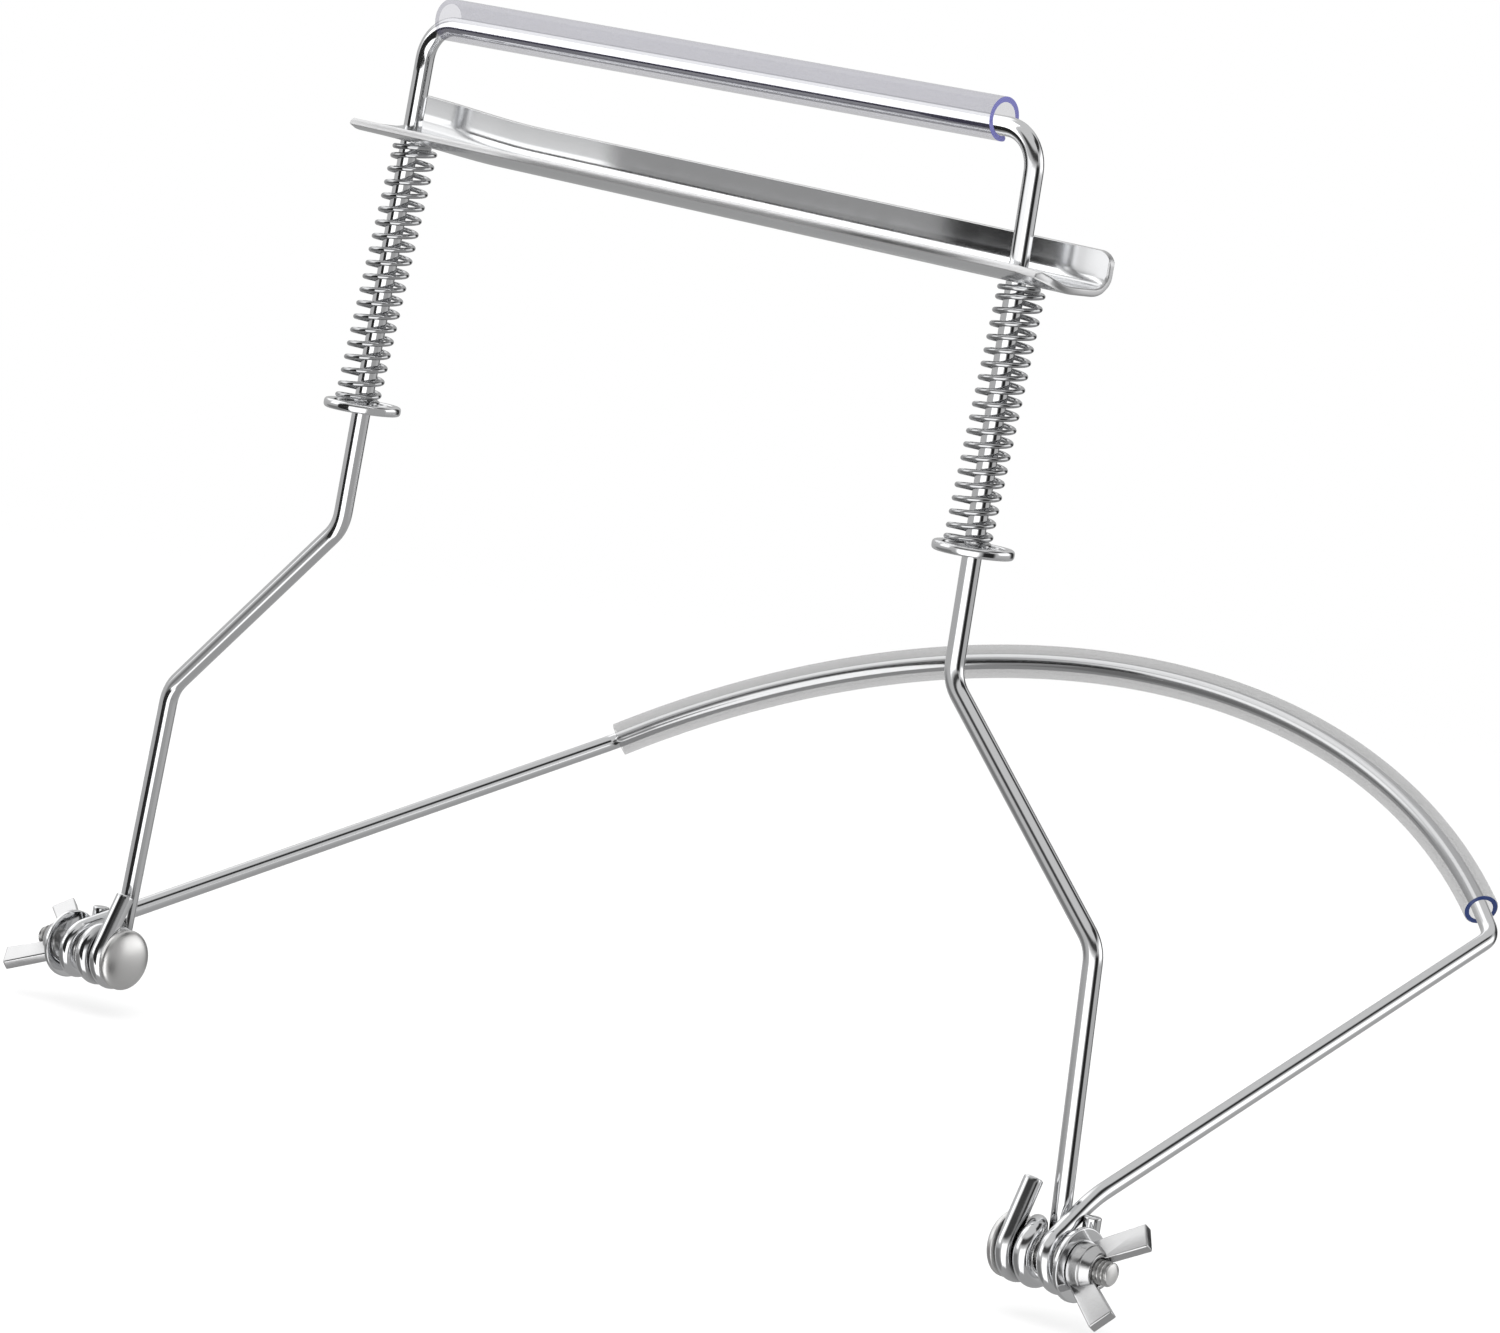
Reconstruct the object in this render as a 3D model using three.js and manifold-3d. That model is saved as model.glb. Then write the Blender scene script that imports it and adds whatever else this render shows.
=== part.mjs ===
// A neck-worn harmonica holder: a bent wire neck yoke in a clear tube, a bent
// wire front frame that swings on two wing-nut bolts, and a sprung sheet plate
// that clamps the harmonica up against the sleeved top bar.
// Millimetres, +X to the wearer's left, +Y towards the neck, +Z up. The model is
// laid out round the swing axis and then moved so that the neck rest is the origin.
import * as THREE from "three";
import { mergeVertices } from "three/addons/utils/BufferGeometryUtils.js";
import Module from "manifold-3d";

// ---- Driving dimensions ----
const FIT_GAP = 0.3; // between pieces that touch on the real object
const PIVOT_GAP = 0.2; // the same, along and around the swing axis
const TURN_GAP = 0.45; // between the turns of a wound wire
const CUT_OVERRUN = 2; // how far a cutting tool runs past what it cuts

// front frame wire
const FRAME_WIRE = 2.4; // diameter
const BAR_HALF_WIDTH = 54; // top bar, centre to upright
const BAR_HEIGHT = 133.4; // swing axis to top bar
const UPPER_KNEE_HEIGHT = 64.9;
const LOWER_KNEE_HEIGHT = 37.5;
const LOWER_KNEE_HALF_WIDTH = 82.8;
const EYE_HALF_WIDTH = 84.9; // where the leg meets its eye
const FRAME_PLANE = 3.65; // the uprights' plane, behind the swing axis
const BAR_BEND_RADIUS = 5;
const KNEE_BEND_RADIUS = 5;
const FRAME_EYE_TURNS = 1.5;
const FRAME_EYE_STEP_START = 230; // degrees round the eye where it steps over to its next turn
const FRAME_EYE_STEP_END = 330;
const FRAME_TAIL_LEAN = 23; // degrees back from upright
const FRAME_TAIL_LENGTH = 8;

// neck yoke wire
const YOKE_WIRE = 2.1; // diameter
const ARM_TILT = 18.2; // degrees up from level
const ARM_TOE_IN = 6.6; // degrees
const LEFT_ARM_LENGTH = 94.5; // eye to corner
const RIGHT_ARM_LENGTH = 105.5;
const NECK_ARC_TILT = 44; // degrees up from level
const NECK_ARC_RISE = 32.6;
const CORNER_BEND_RADIUS = 3.2;
const YOKE_EYE_TURNS = 0.75; // from the top of the eye to its back
const YOKE_TAIL_LENGTH = 5.5;

// tubes over the wires
const NECK_TUBE_DIAMETER = 4.8;
const NECK_TUBE_WALL = 0.65;
const NECK_TUBE_LEFT_SETBACK = 2.2; // tube end to yoke corner, along the arc
const NECK_TUBE_RIGHT_SETBACK = 7.5;
const SLEEVE_DIAMETER = 5.6;
const SLEEVE_WALL = 0.7;
const SLEEVE_LEFT_SETBACK = 5; // sleeve end to the upright's centre
const SLEEVE_RIGHT_SETBACK = 6;
const SLEEVE_SLIT_ANGLE = 54; // degrees of the ring that is left out
const SLEEVE_SLIT_DIRECTION = -52; // degrees from straight back, turned down

// springs and their seats
const SPRING_DIAMETER = 6.2;
const SPRING_WIRE = 0.7;
const SPRING_TURNS = 20;
const SPRING_END_TURNS = 1; // close turns at each end
const SEAT_HEIGHT = 80.7; // underside
const SEAT_DIAMETER = 10.4;
const SEAT_THICKNESS = 0.9;
const SEAT_ROUNDING = 0.35;

// clamp plate
const SHEET = 1;
const PLATE_HEIGHT = 115.3; // swing axis to the plate's underside
const LEFT_TAB = 5.5; // upright to the left end of the plate's front edge
const RIGHT_TAB = 10.6;
const LEFT_END_SLANT = 2.6; // the left end runs in by this at the back
const RIGHT_END_ROUNDING = 6.4; // the right end runs in by this at the lip
const RIGHT_END_STRAIGHT = 1.5; // from the uprights' plane to where that rounding begins
const FLOOR_FRONT = 2.3; // from the uprights' plane
const FLOOR_BACK = 2.7;
const LIP_DEPTH = 5.2;
const LIP_RISE = 1.7;
const WALL_DEPTH = 5;
const WALL_RISE = 4.6;
const WALL_CORNER = 2; // rounding of the back wall's top corners
const TAB_START = 3; // upright to where the front lip begins to drop
const RIGHT_TAB_DROP = 1.9;
const LEFT_TAB_DROP = 0.5;
const UPRIGHT_HOLE_CLEARANCE = 0.45; // round the upright

// pivot bolts, washers and wing nuts
const BOLT_DIAMETER = 3.1;
const EYE_PLAY = 0.45; // between a bolt and the eyes round it
const THREAD_DEPTH = 0.25;
const THREAD_PITCH = 0.75;
const THREAD_LENGTH = 5.2;
const HEAD_DIAMETER = 8.4;
const HEAD_RIM = 0.4;
const HEAD_RISE = 1.4;
const BOLT_PAST_NUT = 1.4;
const WASHER_DIAMETER = 9.4;
const WASHER_BORE = 3.9;
const WASHER_THICKNESS = 0.7;
const HUB_DIAMETER = 6.4;
const HUB_MIDDLE_DIAMETER = 5.8;
const HUB_TOP_DIAMETER = 4.7;
const HUB_STEP = 1.8;
const HUB_HEIGHT = 3.4;
const WING_TIP_RADIUS = 6; // from the axis to the middle of a wing's end
const WING_TIP_HEIGHT = 6.9;
const WING_ROOT_RADIUS = 2.3;
const WING_ROOT_HEIGHT = 1.3;
const WING_TIP_WIDTH = 3.3;
const WING_ROOT_WIDTH = 2.9;
const WING_THICKNESS = 1.5;
const RIGHT_WING_ANGLE = 58; // degrees up from straight back
const LEFT_WING_ANGLE = 38;

// ---- Facets ----
const WIRE_SIDES = 12;
const BEND_STEPS = 5;
const EYE_STEPS = 14; // per turn
const NECK_ARC_STEPS = 30;
const CURL_STEPS = 8;
const CURL_SIDES = 5;
const ROUND_SIDES = 28;
const TAU = 2 * Math.PI;

// ---- Colours ----
const polishedSteel = { color: 0xc9ccd0, roughness: 0.16, metalness: 1 };
const springSteel = { color: 0xb9bcc1, roughness: 0.2, metalness: 1 };
const satinNickel = { color: 0xb4b5b6, roughness: 0.34, metalness: 1 };
const platedZinc = { color: 0xa6a7a8, roughness: 0.38, metalness: 1 };
const clearVinyl = { color: 0xd7dbe6, roughness: 0.14, metalness: 0, transparent: true, opacity: 0.5 };

const wasm = await Module();
wasm.setup();
const { Manifold, Mesh: SolidMesh } = wasm;

const holder = new THREE.Group();

function addPiece(name, geometry, look) {
  const mesh = new THREE.Mesh(geometry, new THREE.MeshStandardMaterial(look));
  mesh.name = name;
  geometry.computeVertexNormals();
  holder.add(mesh);
  return mesh;
}

const radians = THREE.MathUtils.degToRad;
const point = (x, y, z) => new THREE.Vector3(x, y, z);

// ---- Solids from geometries, for cuts and joins ----
function solid(geometry) {
  const bare = new THREE.BufferGeometry();
  bare.setAttribute("position", geometry.getAttribute("position"));
  if (geometry.index) bare.setIndex(geometry.index);
  const merged = mergeVertices(bare, SHEET / 10000);
  const index = merged.index ? merged.index.array : merged.getAttribute("position").array.map((_, i) => i);
  return new Manifold(
    new SolidMesh({ numProp: 3, vertProperties: merged.attributes.position.array, triVerts: new Uint32Array(index) }),
  );
}

function geometryOf(body) {
  const mesh = body.getMesh();
  const vertices = new Float32Array(mesh.numVert * 3);
  for (let i = 0; i < mesh.numVert; i++)
    vertices.set(mesh.vertProperties.subarray(i * mesh.numProp, i * mesh.numProp + 3), i * 3);
  return new THREE.BufferGeometry()
    .setAttribute("position", new THREE.BufferAttribute(vertices, 3))
    .setIndex(new THREE.BufferAttribute(new Uint32Array(mesh.triVerts), 1))
    .toNonIndexed();
}

// ---- Wires ----
// A wire's route: its own points are the places where the section stands.
class WireRoute extends THREE.Curve {
  constructor(points) {
    super();
    this.points = points;
  }
  getPoint(share, target = new THREE.Vector3()) {
    const place = share * (this.points.length - 1);
    const i = Math.min(Math.floor(place), this.points.length - 2);
    return target.copy(this.points[i]).lerp(this.points[i + 1], place - i);
  }
  getPointAt(share, target) {
    return this.getPoint(share, target);
  }
  getTangentAt(share, target = new THREE.Vector3()) {
    const last = this.points.length - 1;
    const i = Math.round(share * last);
    const here = this.points[i];
    target.set(0, 0, 0);
    if (i > 0) target.add(here.clone().sub(this.points[i - 1]).normalize());
    if (i < last) target.add(this.points[i + 1].clone().sub(here).normalize());
    return target.normalize();
  }
}

// Corners rounded by true arcs: each corner is { at, radius }, and the ends have no radius.
function roundedRoute(corners, steps = BEND_STEPS) {
  const route = [];
  corners.forEach(({ at, radius }, i) => {
    const before = corners[i - 1], after = corners[i + 1];
    if (!radius || !before || !after) {
      route.push(at.clone());
      return;
    }
    const back = before.at.clone().sub(at).normalize();
    const on = after.at.clone().sub(at).normalize();
    const half = back.angleTo(on) / 2;
    const middle = at.clone().add(back.clone().add(on).normalize().multiplyScalar(radius / Math.sin(half)));
    const start = at.clone().add(back.multiplyScalar(radius / Math.tan(half)));
    const spoke = start.clone().sub(middle);
    const axis = on.clone().cross(back).normalize();
    for (let k = 0; k <= steps; k++)
      route.push(middle.clone().add(spoke.clone().applyAxisAngle(axis, ((Math.PI - 2 * half) * k) / steps)));
  });
  return route;
}

function roundWire(route, diameter, sides = WIRE_SIDES) {
  const section = new THREE.Shape();
  section.absarc(0, 0, diameter / 2, 0, TAU);
  return new THREE.ExtrudeGeometry(section, {
    extrudePath: new WireRoute(route),
    steps: route.length - 1,
    curveSegments: sides / 2,
  });
}

// The least clear distance between stretches of one wound wire that lie over half a turn apart.
function leastSelfGap(route, diameter, halfTurn) {
  const along = [0];
  route.forEach((p, i) => i && along.push(along[i - 1] + p.distanceTo(route[i - 1])));
  const line = new THREE.Line3(), near = new THREE.Vector3();
  let least = Infinity;
  route.forEach((p, i) => {
    for (let k = 1; k < route.length; k++) {
      if (Math.min(Math.abs(along[k] - along[i]), Math.abs(along[k - 1] - along[i])) < halfTurn) continue;
      line.set(route[k - 1], route[k]).closestPointToPoint(p, true, near);
      least = Math.min(least, near.distanceTo(p));
    }
  });
  return least - diameter;
}

const EYE_RADIUS = BOLT_DIAMETER / 2 + EYE_PLAY + FRAME_WIRE / 2; // both wires, to the wire's centre
const framePitch = FRAME_WIRE + TURN_GAP;
const yokePitch = YOKE_WIRE + TURN_GAP;

// ---- Front frame: one wire from tail to tail ----
// From the back of the eye down, round the front and over: the turns lie flat, and the wire
// steps over to the next one behind its top.
function frameEye(side) {
  const turns = FRAME_EYE_TURNS + FRAME_TAIL_LEAN / 360;
  const count = Math.round(turns * EYE_STEPS);
  const eye = [];
  for (let k = 0; k <= count; k++) {
    const turned = (turns * TAU * k) / count;
    const stepped = THREE.MathUtils.smoothstep(turned, radians(FRAME_EYE_STEP_START), radians(FRAME_EYE_STEP_END));
    eye.push(
      point(
        side * (EYE_HALF_WIDTH - framePitch * stepped),
        EYE_RADIUS * Math.cos(turned),
        -EYE_RADIUS * Math.sin(turned),
      ),
    );
  }
  const lean = radians(FRAME_TAIL_LEAN);
  const end = eye[eye.length - 1].clone();
  eye.push(end.add(point(0, Math.sin(lean), Math.cos(lean)).multiplyScalar(FRAME_TAIL_LENGTH)));
  return eye;
}

function frameLeg(side) {
  return [
    { at: point(side * BAR_HALF_WIDTH, FRAME_PLANE, BAR_HEIGHT), radius: BAR_BEND_RADIUS },
    { at: point(side * BAR_HALF_WIDTH, FRAME_PLANE, UPPER_KNEE_HEIGHT), radius: KNEE_BEND_RADIUS },
    { at: point(side * LOWER_KNEE_HALF_WIDTH, FRAME_PLANE, LOWER_KNEE_HEIGHT), radius: KNEE_BEND_RADIUS },
    { at: point(side * EYE_HALF_WIDTH, FRAME_PLANE, 0) },
  ];
}

const frameBends = roundedRoute([...frameLeg(-1).reverse(), ...frameLeg(1)]);
const frameRoute = [...frameEye(-1).reverse(), ...frameBends.slice(1, -1), ...frameEye(1)];
addPiece("front_frame", roundWire(frameRoute, FRAME_WIRE), polishedSteel);

// ---- Neck yoke: one wire from tail to tail ----
const armTilt = radians(ARM_TILT);
const toeIn = radians(ARM_TOE_IN);
const YOKE_EYE_START =
  EYE_HALF_WIDTH + FRAME_WIRE / 2 + YOKE_WIRE / 2 + PIVOT_GAP + EYE_RADIUS * Math.tan(toeIn);

const armStart = (side) =>
  point(side * YOKE_EYE_START, -EYE_RADIUS * Math.sin(armTilt), EYE_RADIUS * Math.cos(armTilt));
function armCorner(side, length) {
  const direction = point(
    -side * Math.sin(toeIn), Math.cos(toeIn) * Math.cos(armTilt), Math.cos(toeIn) * Math.sin(armTilt),
  );
  return armStart(side).add(direction.multiplyScalar(length));
}

function yokeEye(side) {
  const turns = YOKE_EYE_TURNS - ARM_TILT / 360;
  const count = Math.round(turns * EYE_STEPS);
  const eye = [];
  for (let k = 0; k <= count; k++) {
    const turned = (turns * TAU * k) / count;
    eye.push(
      point(
        side * (YOKE_EYE_START + (yokePitch * turned) / TAU),
        -EYE_RADIUS * Math.sin(armTilt + turned),
        EYE_RADIUS * Math.cos(armTilt + turned),
      ),
    );
  }
  eye.push(eye[eye.length - 1].clone().add(point(0, 0, YOKE_TAIL_LENGTH)));
  return eye;
}
const YOKE_EYE_END = YOKE_EYE_START + yokePitch * (YOKE_EYE_TURNS - ARM_TILT / 360);

// The neck arc: a circular arc through both corners, rising back and up.
const leftCorner = armCorner(-1, LEFT_ARM_LENGTH);
const rightCorner = armCorner(1, RIGHT_ARM_LENGTH);
const chord = rightCorner.clone().sub(leftCorner);
const chordMiddle = leftCorner.clone().lerp(rightCorner, 0.5);
const across = chord.clone().normalize();
const arcTilt = radians(NECK_ARC_TILT);
const rising = point(0, Math.cos(arcTilt), Math.sin(arcTilt));
rising.sub(across.clone().multiplyScalar(rising.dot(across))).normalize();
const halfChord = chord.length() / 2;
const neckRadius = (halfChord ** 2 + NECK_ARC_RISE ** 2) / (2 * NECK_ARC_RISE);
const neckHalfAngle = Math.asin(halfChord / neckRadius);
function neckPoint(angle) {
  return chordMiddle.clone()
    .add(across.clone().multiplyScalar(neckRadius * Math.sin(angle)))
    .add(rising.clone().multiplyScalar(neckRadius * Math.cos(angle) - (neckRadius - NECK_ARC_RISE)));
}
function neckArc(from, to, steps) {
  return Array.from({ length: steps + 1 }, (_, k) => neckPoint(from + ((to - from) * k) / steps));
}

const cornerTrim = (2 * CORNER_BEND_RADIUS) / neckRadius; // the arc gives way to the corner's bend
const neckRun = neckArc(-neckHalfAngle + cornerTrim, neckHalfAngle - cornerTrim, NECK_ARC_STEPS);
const leftBend = roundedRoute([{ at: armStart(-1) }, { at: leftCorner, radius: CORNER_BEND_RADIUS }, { at: neckRun[0] }]);
const rightBend = roundedRoute([
  { at: neckRun[neckRun.length - 1] }, { at: rightCorner, radius: CORNER_BEND_RADIUS }, { at: armStart(1) },
]);
const yokeRoute = [
  ...yokeEye(-1).reverse(), ...leftBend.slice(1, -1), ...neckRun, ...rightBend.slice(1, -1), ...yokeEye(1),
];
addPiece("neck_yoke", roundWire(yokeRoute, YOKE_WIRE), polishedSteel);

const halfEye = EYE_RADIUS * Math.PI;
console.log(
  "least gap between an eye's turns: frame",
  leastSelfGap([point(LOWER_KNEE_HALF_WIDTH, FRAME_PLANE, LOWER_KNEE_HEIGHT), ...frameEye(1)], FRAME_WIRE, halfEye).toFixed(2),
  "mm, yoke",
  leastSelfGap([rightCorner, ...yokeEye(1)], YOKE_WIRE, halfEye).toFixed(2), "mm",
);

// ---- Clear tube on the neck arc ----
const tubeSection = new THREE.Shape();
tubeSection.absarc(0, 0, NECK_TUBE_DIAMETER / 2, 0, TAU);
const tubeBore = new THREE.Path();
tubeBore.absarc(0, 0, NECK_TUBE_DIAMETER / 2 - NECK_TUBE_WALL, 0, TAU);
tubeSection.holes.push(tubeBore);
const tubeRoute = neckArc(
  -neckHalfAngle + NECK_TUBE_LEFT_SETBACK / neckRadius,
  neckHalfAngle - NECK_TUBE_RIGHT_SETBACK / neckRadius,
  NECK_ARC_STEPS,
);
addPiece(
  "neck_tube",
  new THREE.ExtrudeGeometry(tubeSection, {
    extrudePath: new WireRoute(tubeRoute), steps: tubeRoute.length - 1, curveSegments: WIRE_SIDES / 2,
  }),
  clearVinyl,
);

// ---- Split sleeve that hangs on the top bar ----
const sleeveBore = SLEEVE_DIAMETER / 2 - SLEEVE_WALL;
const sleeveLift = sleeveBore - FRAME_WIRE / 2 - FIT_GAP; // its centre over the bar's
const sleeveSection = new THREE.Shape();
const slitMiddle = radians(SLEEVE_SLIT_DIRECTION);
const slitHalf = radians(SLEEVE_SLIT_ANGLE) / 2;
sleeveSection.absarc(0, 0, SLEEVE_DIAMETER / 2, slitMiddle + slitHalf, slitMiddle - slitHalf + TAU);
sleeveSection.absarc(0, 0, sleeveBore, slitMiddle - slitHalf + TAU, slitMiddle + slitHalf, true);
const sleeveGeometry = new THREE.ExtrudeGeometry(sleeveSection, {
  depth: 2 * BAR_HALF_WIDTH - SLEEVE_LEFT_SETBACK - SLEEVE_RIGHT_SETBACK, bevelEnabled: false, curveSegments: WIRE_SIDES,
});
// the section's x runs back, its y up, and the extrusion along +X
const alongX = new THREE.Matrix4().makeBasis(point(0, 1, 0), point(0, 0, 1), point(1, 0, 0));
sleeveGeometry.applyMatrix4(alongX);
sleeveGeometry.translate(SLEEVE_LEFT_SETBACK - BAR_HALF_WIDTH, FRAME_PLANE, BAR_HEIGHT + sleeveLift);
addPiece("top_bar_sleeve", sleeveGeometry, clearVinyl);

// ---- Clamp plate: a J-shaped channel with two holes for the uprights ----
// The sheet's middle line, back and up from the uprights' plane.
function plateLine() {
  const floor = SHEET / 2;
  return [
    [-LIP_DEPTH, floor + LIP_RISE],
    [(-LIP_DEPTH - FLOOR_FRONT) / 2, floor + LIP_RISE * 0.42],
    [-FLOOR_FRONT, floor],
    [0, floor],
    [FLOOR_BACK, floor],
    [FLOOR_BACK + (WALL_DEPTH - FLOOR_BACK) * 0.52, floor + WALL_RISE * 0.1],
    [FLOOR_BACK + (WALL_DEPTH - FLOOR_BACK) * 0.8, floor + WALL_RISE * 0.34],
    [WALL_DEPTH, floor + WALL_RISE - SHEET / 2],
  ].map(([back, up]) => new THREE.Vector2(back, up));
}
function sheetSection(line) {
  const sides = [1, -1].map((side) =>
    line.map((p, i) => {
      const run = line[Math.min(i + 1, line.length - 1)].clone().sub(line[Math.max(i - 1, 0)]).normalize();
      return new THREE.Vector2(-run.y, run.x).multiplyScalar((side * SHEET) / 2).add(p);
    }),
  );
  return new THREE.Shape([...sides[0].reverse(), ...sides[1]]);
}
const PLATE_LEFT = BAR_HALF_WIDTH + LEFT_TAB, PLATE_RIGHT = BAR_HALF_WIDTH + RIGHT_TAB;
const plateLength = PLATE_LEFT + PLATE_RIGHT;
const plateSteps = 26;
const plateGeometry = new THREE.ExtrudeGeometry(sheetSection(plateLine()), {
  depth: plateLength, bevelEnabled: false, steps: plateSteps,
});
plateGeometry.applyMatrix4(alongX);
plateGeometry.translate(-PLATE_LEFT, 0, 0);

// The lip comes down at each end. The left end runs in towards the back on a slant, and the
// right end towards the lip on a quarter ellipse.
function shapePlateEnds(geometry) {
  const place = geometry.getAttribute("position");
  for (let i = 0; i < place.count; i++) {
    const x = place.getX(i), y = place.getY(i);
    const reach = x > 0 ? PLATE_RIGHT : PLATE_LEFT;
    const drop = x > 0 ? RIGHT_TAB_DROP : LEFT_TAB_DROP;
    const tab = THREE.MathUtils.smoothstep(Math.abs(x), BAR_HALF_WIDTH + TAB_START - SHEET, reach);
    const lip = THREE.MathUtils.smoothstep(-y, FLOOR_FRONT - SHEET, LIP_DEPTH);
    place.setZ(i, place.getZ(i) - drop * tab * lip);
    const back = (y + LIP_DEPTH) / (WALL_DEPTH + LIP_DEPTH);
    const forward = THREE.MathUtils.clamp((RIGHT_END_STRAIGHT - y) / (RIGHT_END_STRAIGHT + LIP_DEPTH), 0, 1);
    const inset = x > 0 ? RIGHT_END_ROUNDING * (1 - Math.sqrt(1 - forward ** 2)) : LEFT_END_SLANT * back;
    const tabStart = BAR_HALF_WIDTH + TAB_START - SHEET;
    const outward = THREE.MathUtils.clamp((Math.abs(x) - tabStart) / (reach - tabStart), 0, 1);
    place.setX(i, x - Math.sign(x) * inset * outward);
  }
}
shapePlateEnds(plateGeometry);

function uprightHole(side) {
  const bore = new THREE.CylinderGeometry(
    FRAME_WIRE / 2 + UPRIGHT_HOLE_CLEARANCE, FRAME_WIRE / 2 + UPRIGHT_HOLE_CLEARANCE, SHEET + 2 * CUT_OVERRUN, ROUND_SIDES,
  );
  bore.rotateX(Math.PI / 2);
  bore.translate(side * BAR_HALF_WIDTH, 0, SHEET / 2);
  return solid(bore);
}
// What is cut off each top corner of the back wall to round it.
function cornerCutter(side) {
  const reach = side > 0 ? PLATE_RIGHT : PLATE_LEFT;
  const end = side > 0 ? reach : reach - LEFT_END_SLANT;
  const top = SHEET / 2 + WALL_RISE;
  const outline = new THREE.Shape();
  outline.moveTo(end - WALL_CORNER, top);
  outline.absarc(end - WALL_CORNER, top - WALL_CORNER, WALL_CORNER, Math.PI / 2, 0, true);
  outline.lineTo(end + CUT_OVERRUN, top - WALL_CORNER);
  outline.lineTo(end + CUT_OVERRUN, top + CUT_OVERRUN);
  outline.lineTo(end - WALL_CORNER, top + CUT_OVERRUN);
  const cutter = new THREE.ExtrudeGeometry(outline, {
    depth: WALL_DEPTH + CUT_OVERRUN, bevelEnabled: false, curveSegments: BEND_STEPS,
  });
  cutter.rotateX(Math.PI / 2); // the outline's y is now up, and its depth runs forward
  cutter.translate(0, WALL_DEPTH + CUT_OVERRUN, 0);
  if (side > 0) return solid(cutter);
  return solid(cutter).mirror([1, 0, 0]);
}
const plateBody = solid(plateGeometry)
  .subtract(uprightHole(1)).subtract(uprightHole(-1))
  .subtract(cornerCutter(1)).subtract(cornerCutter(-1));
const plateSolid = geometryOf(plateBody);
plateSolid.translate(0, FRAME_PLANE, PLATE_HEIGHT);
addPiece("clamp_plate", plateSolid, polishedSteel);

// ---- Springs on the uprights, from seat to plate ----
const springBottom = SEAT_HEIGHT + SEAT_THICKNESS + FIT_GAP + SPRING_WIRE / 2;
const springTop = PLATE_HEIGHT - FIT_GAP - SPRING_WIRE / 2;
const closePitch = SPRING_WIRE + TURN_GAP;
const openPitch =
  (springTop - springBottom - 2 * SPRING_END_TURNS * closePitch) / (SPRING_TURNS - 2 * SPRING_END_TURNS);
// The height of the coil's centre line: close turns at both ends and an even pitch between.
function springHeight(turned) {
  const low = Math.min(turned, SPRING_END_TURNS);
  const high = Math.max(turned - (SPRING_TURNS - SPRING_END_TURNS), 0);
  return springBottom + (low + high) * closePitch + (turned - low - high) * openPitch;
}
function springRoute(side) {
  const radius = (SPRING_DIAMETER - SPRING_WIRE) / 2;
  return Array.from({ length: SPRING_TURNS * CURL_STEPS + 1 }, (_, k) => {
    const turned = k / CURL_STEPS;
    return point(
      side * BAR_HALF_WIDTH + radius * Math.cos(turned * TAU),
      FRAME_PLANE + radius * Math.sin(turned * TAU),
      springHeight(turned),
    );
  });
}
// A tube round an upright helix: each ring has one point outward and the rest turned from it.
function helixTube(route, centreX, diameter, sides) {
  const rings = [], faces = [];
  route.forEach((p, i) => {
    const outward = point(p.x - centreX, p.y - FRAME_PLANE, 0).normalize();
    const before = route[Math.max(i - 1, 0)], after = route[Math.min(i + 1, route.length - 1)];
    const forward = after.clone().sub(before).normalize();
    const upward = outward.clone().cross(forward).normalize().negate();
    for (let s = 0; s < sides; s++) {
      const round = (s / sides) * TAU;
      rings.push(
        p.clone()
          .add(outward.clone().multiplyScalar((Math.cos(round) * diameter) / 2))
          .add(upward.clone().multiplyScalar((Math.sin(round) * diameter) / 2)),
      );
    }
  });
  const last = (route.length - 1) * sides;
  for (let i = 0; i < route.length - 1; i++)
    for (let s = 0; s < sides; s++) {
      const a = i * sides + s, b = i * sides + ((s + 1) % sides);
      faces.push(a, b, b + sides, a, b + sides, a + sides);
    }
  for (let s = 1; s < sides - 1; s++) {
    faces.push(0, s + 1, s);
    faces.push(last, last + s, last + s + 1);
  }
  const geometry = new THREE.BufferGeometry().setFromPoints(rings).setIndex(faces);
  return geometry;
}
for (const [name, side] of [["left", -1], ["right", 1]]) {
  const route = springRoute(side);
  addPiece("spring_" + name, helixTube(route, side * BAR_HALF_WIDTH, SPRING_WIRE, CURL_SIDES), springSteel);
  if (side > 0)
    console.log(
      "least gap between a spring's turns:",
      leastSelfGap(route, SPRING_WIRE, SPRING_DIAMETER).toFixed(2), "mm,", SPRING_TURNS, "turns",
    );
}

// ---- Turned pieces ----
function lathe(profile, sides = ROUND_SIDES) {
  const geometry = new THREE.LatheGeometry(profile.map(([r, h]) => new THREE.Vector2(r, h)), sides);
  geometry.rotateX(Math.PI / 2); // the axis from +Y to +Z
  return geometry;
}
const ontoX = (side) => new THREE.Matrix4().makeRotationY((side * Math.PI) / 2); // +Z onto side * X

function seat() {
  const bore = FRAME_WIRE / 2 + FIT_GAP, rim = SEAT_DIAMETER / 2;
  return lathe([
    [bore, 0], [rim - SEAT_ROUNDING, 0], [rim, SEAT_ROUNDING], [rim, SEAT_THICKNESS - SEAT_ROUNDING],
    [rim - SEAT_ROUNDING, SEAT_THICKNESS], [bore, SEAT_THICKNESS], [bore, 0],
  ]);
}

const washerStart = YOKE_EYE_END + YOKE_WIRE / 2 + PIVOT_GAP;
const nutStart = washerStart + WASHER_THICKNESS + PIVOT_GAP;
const headFace = EYE_HALF_WIDTH - framePitch - FRAME_WIRE / 2 - PIVOT_GAP;
const boltEnd = nutStart + HUB_HEIGHT + BOLT_PAST_NUT;

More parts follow.
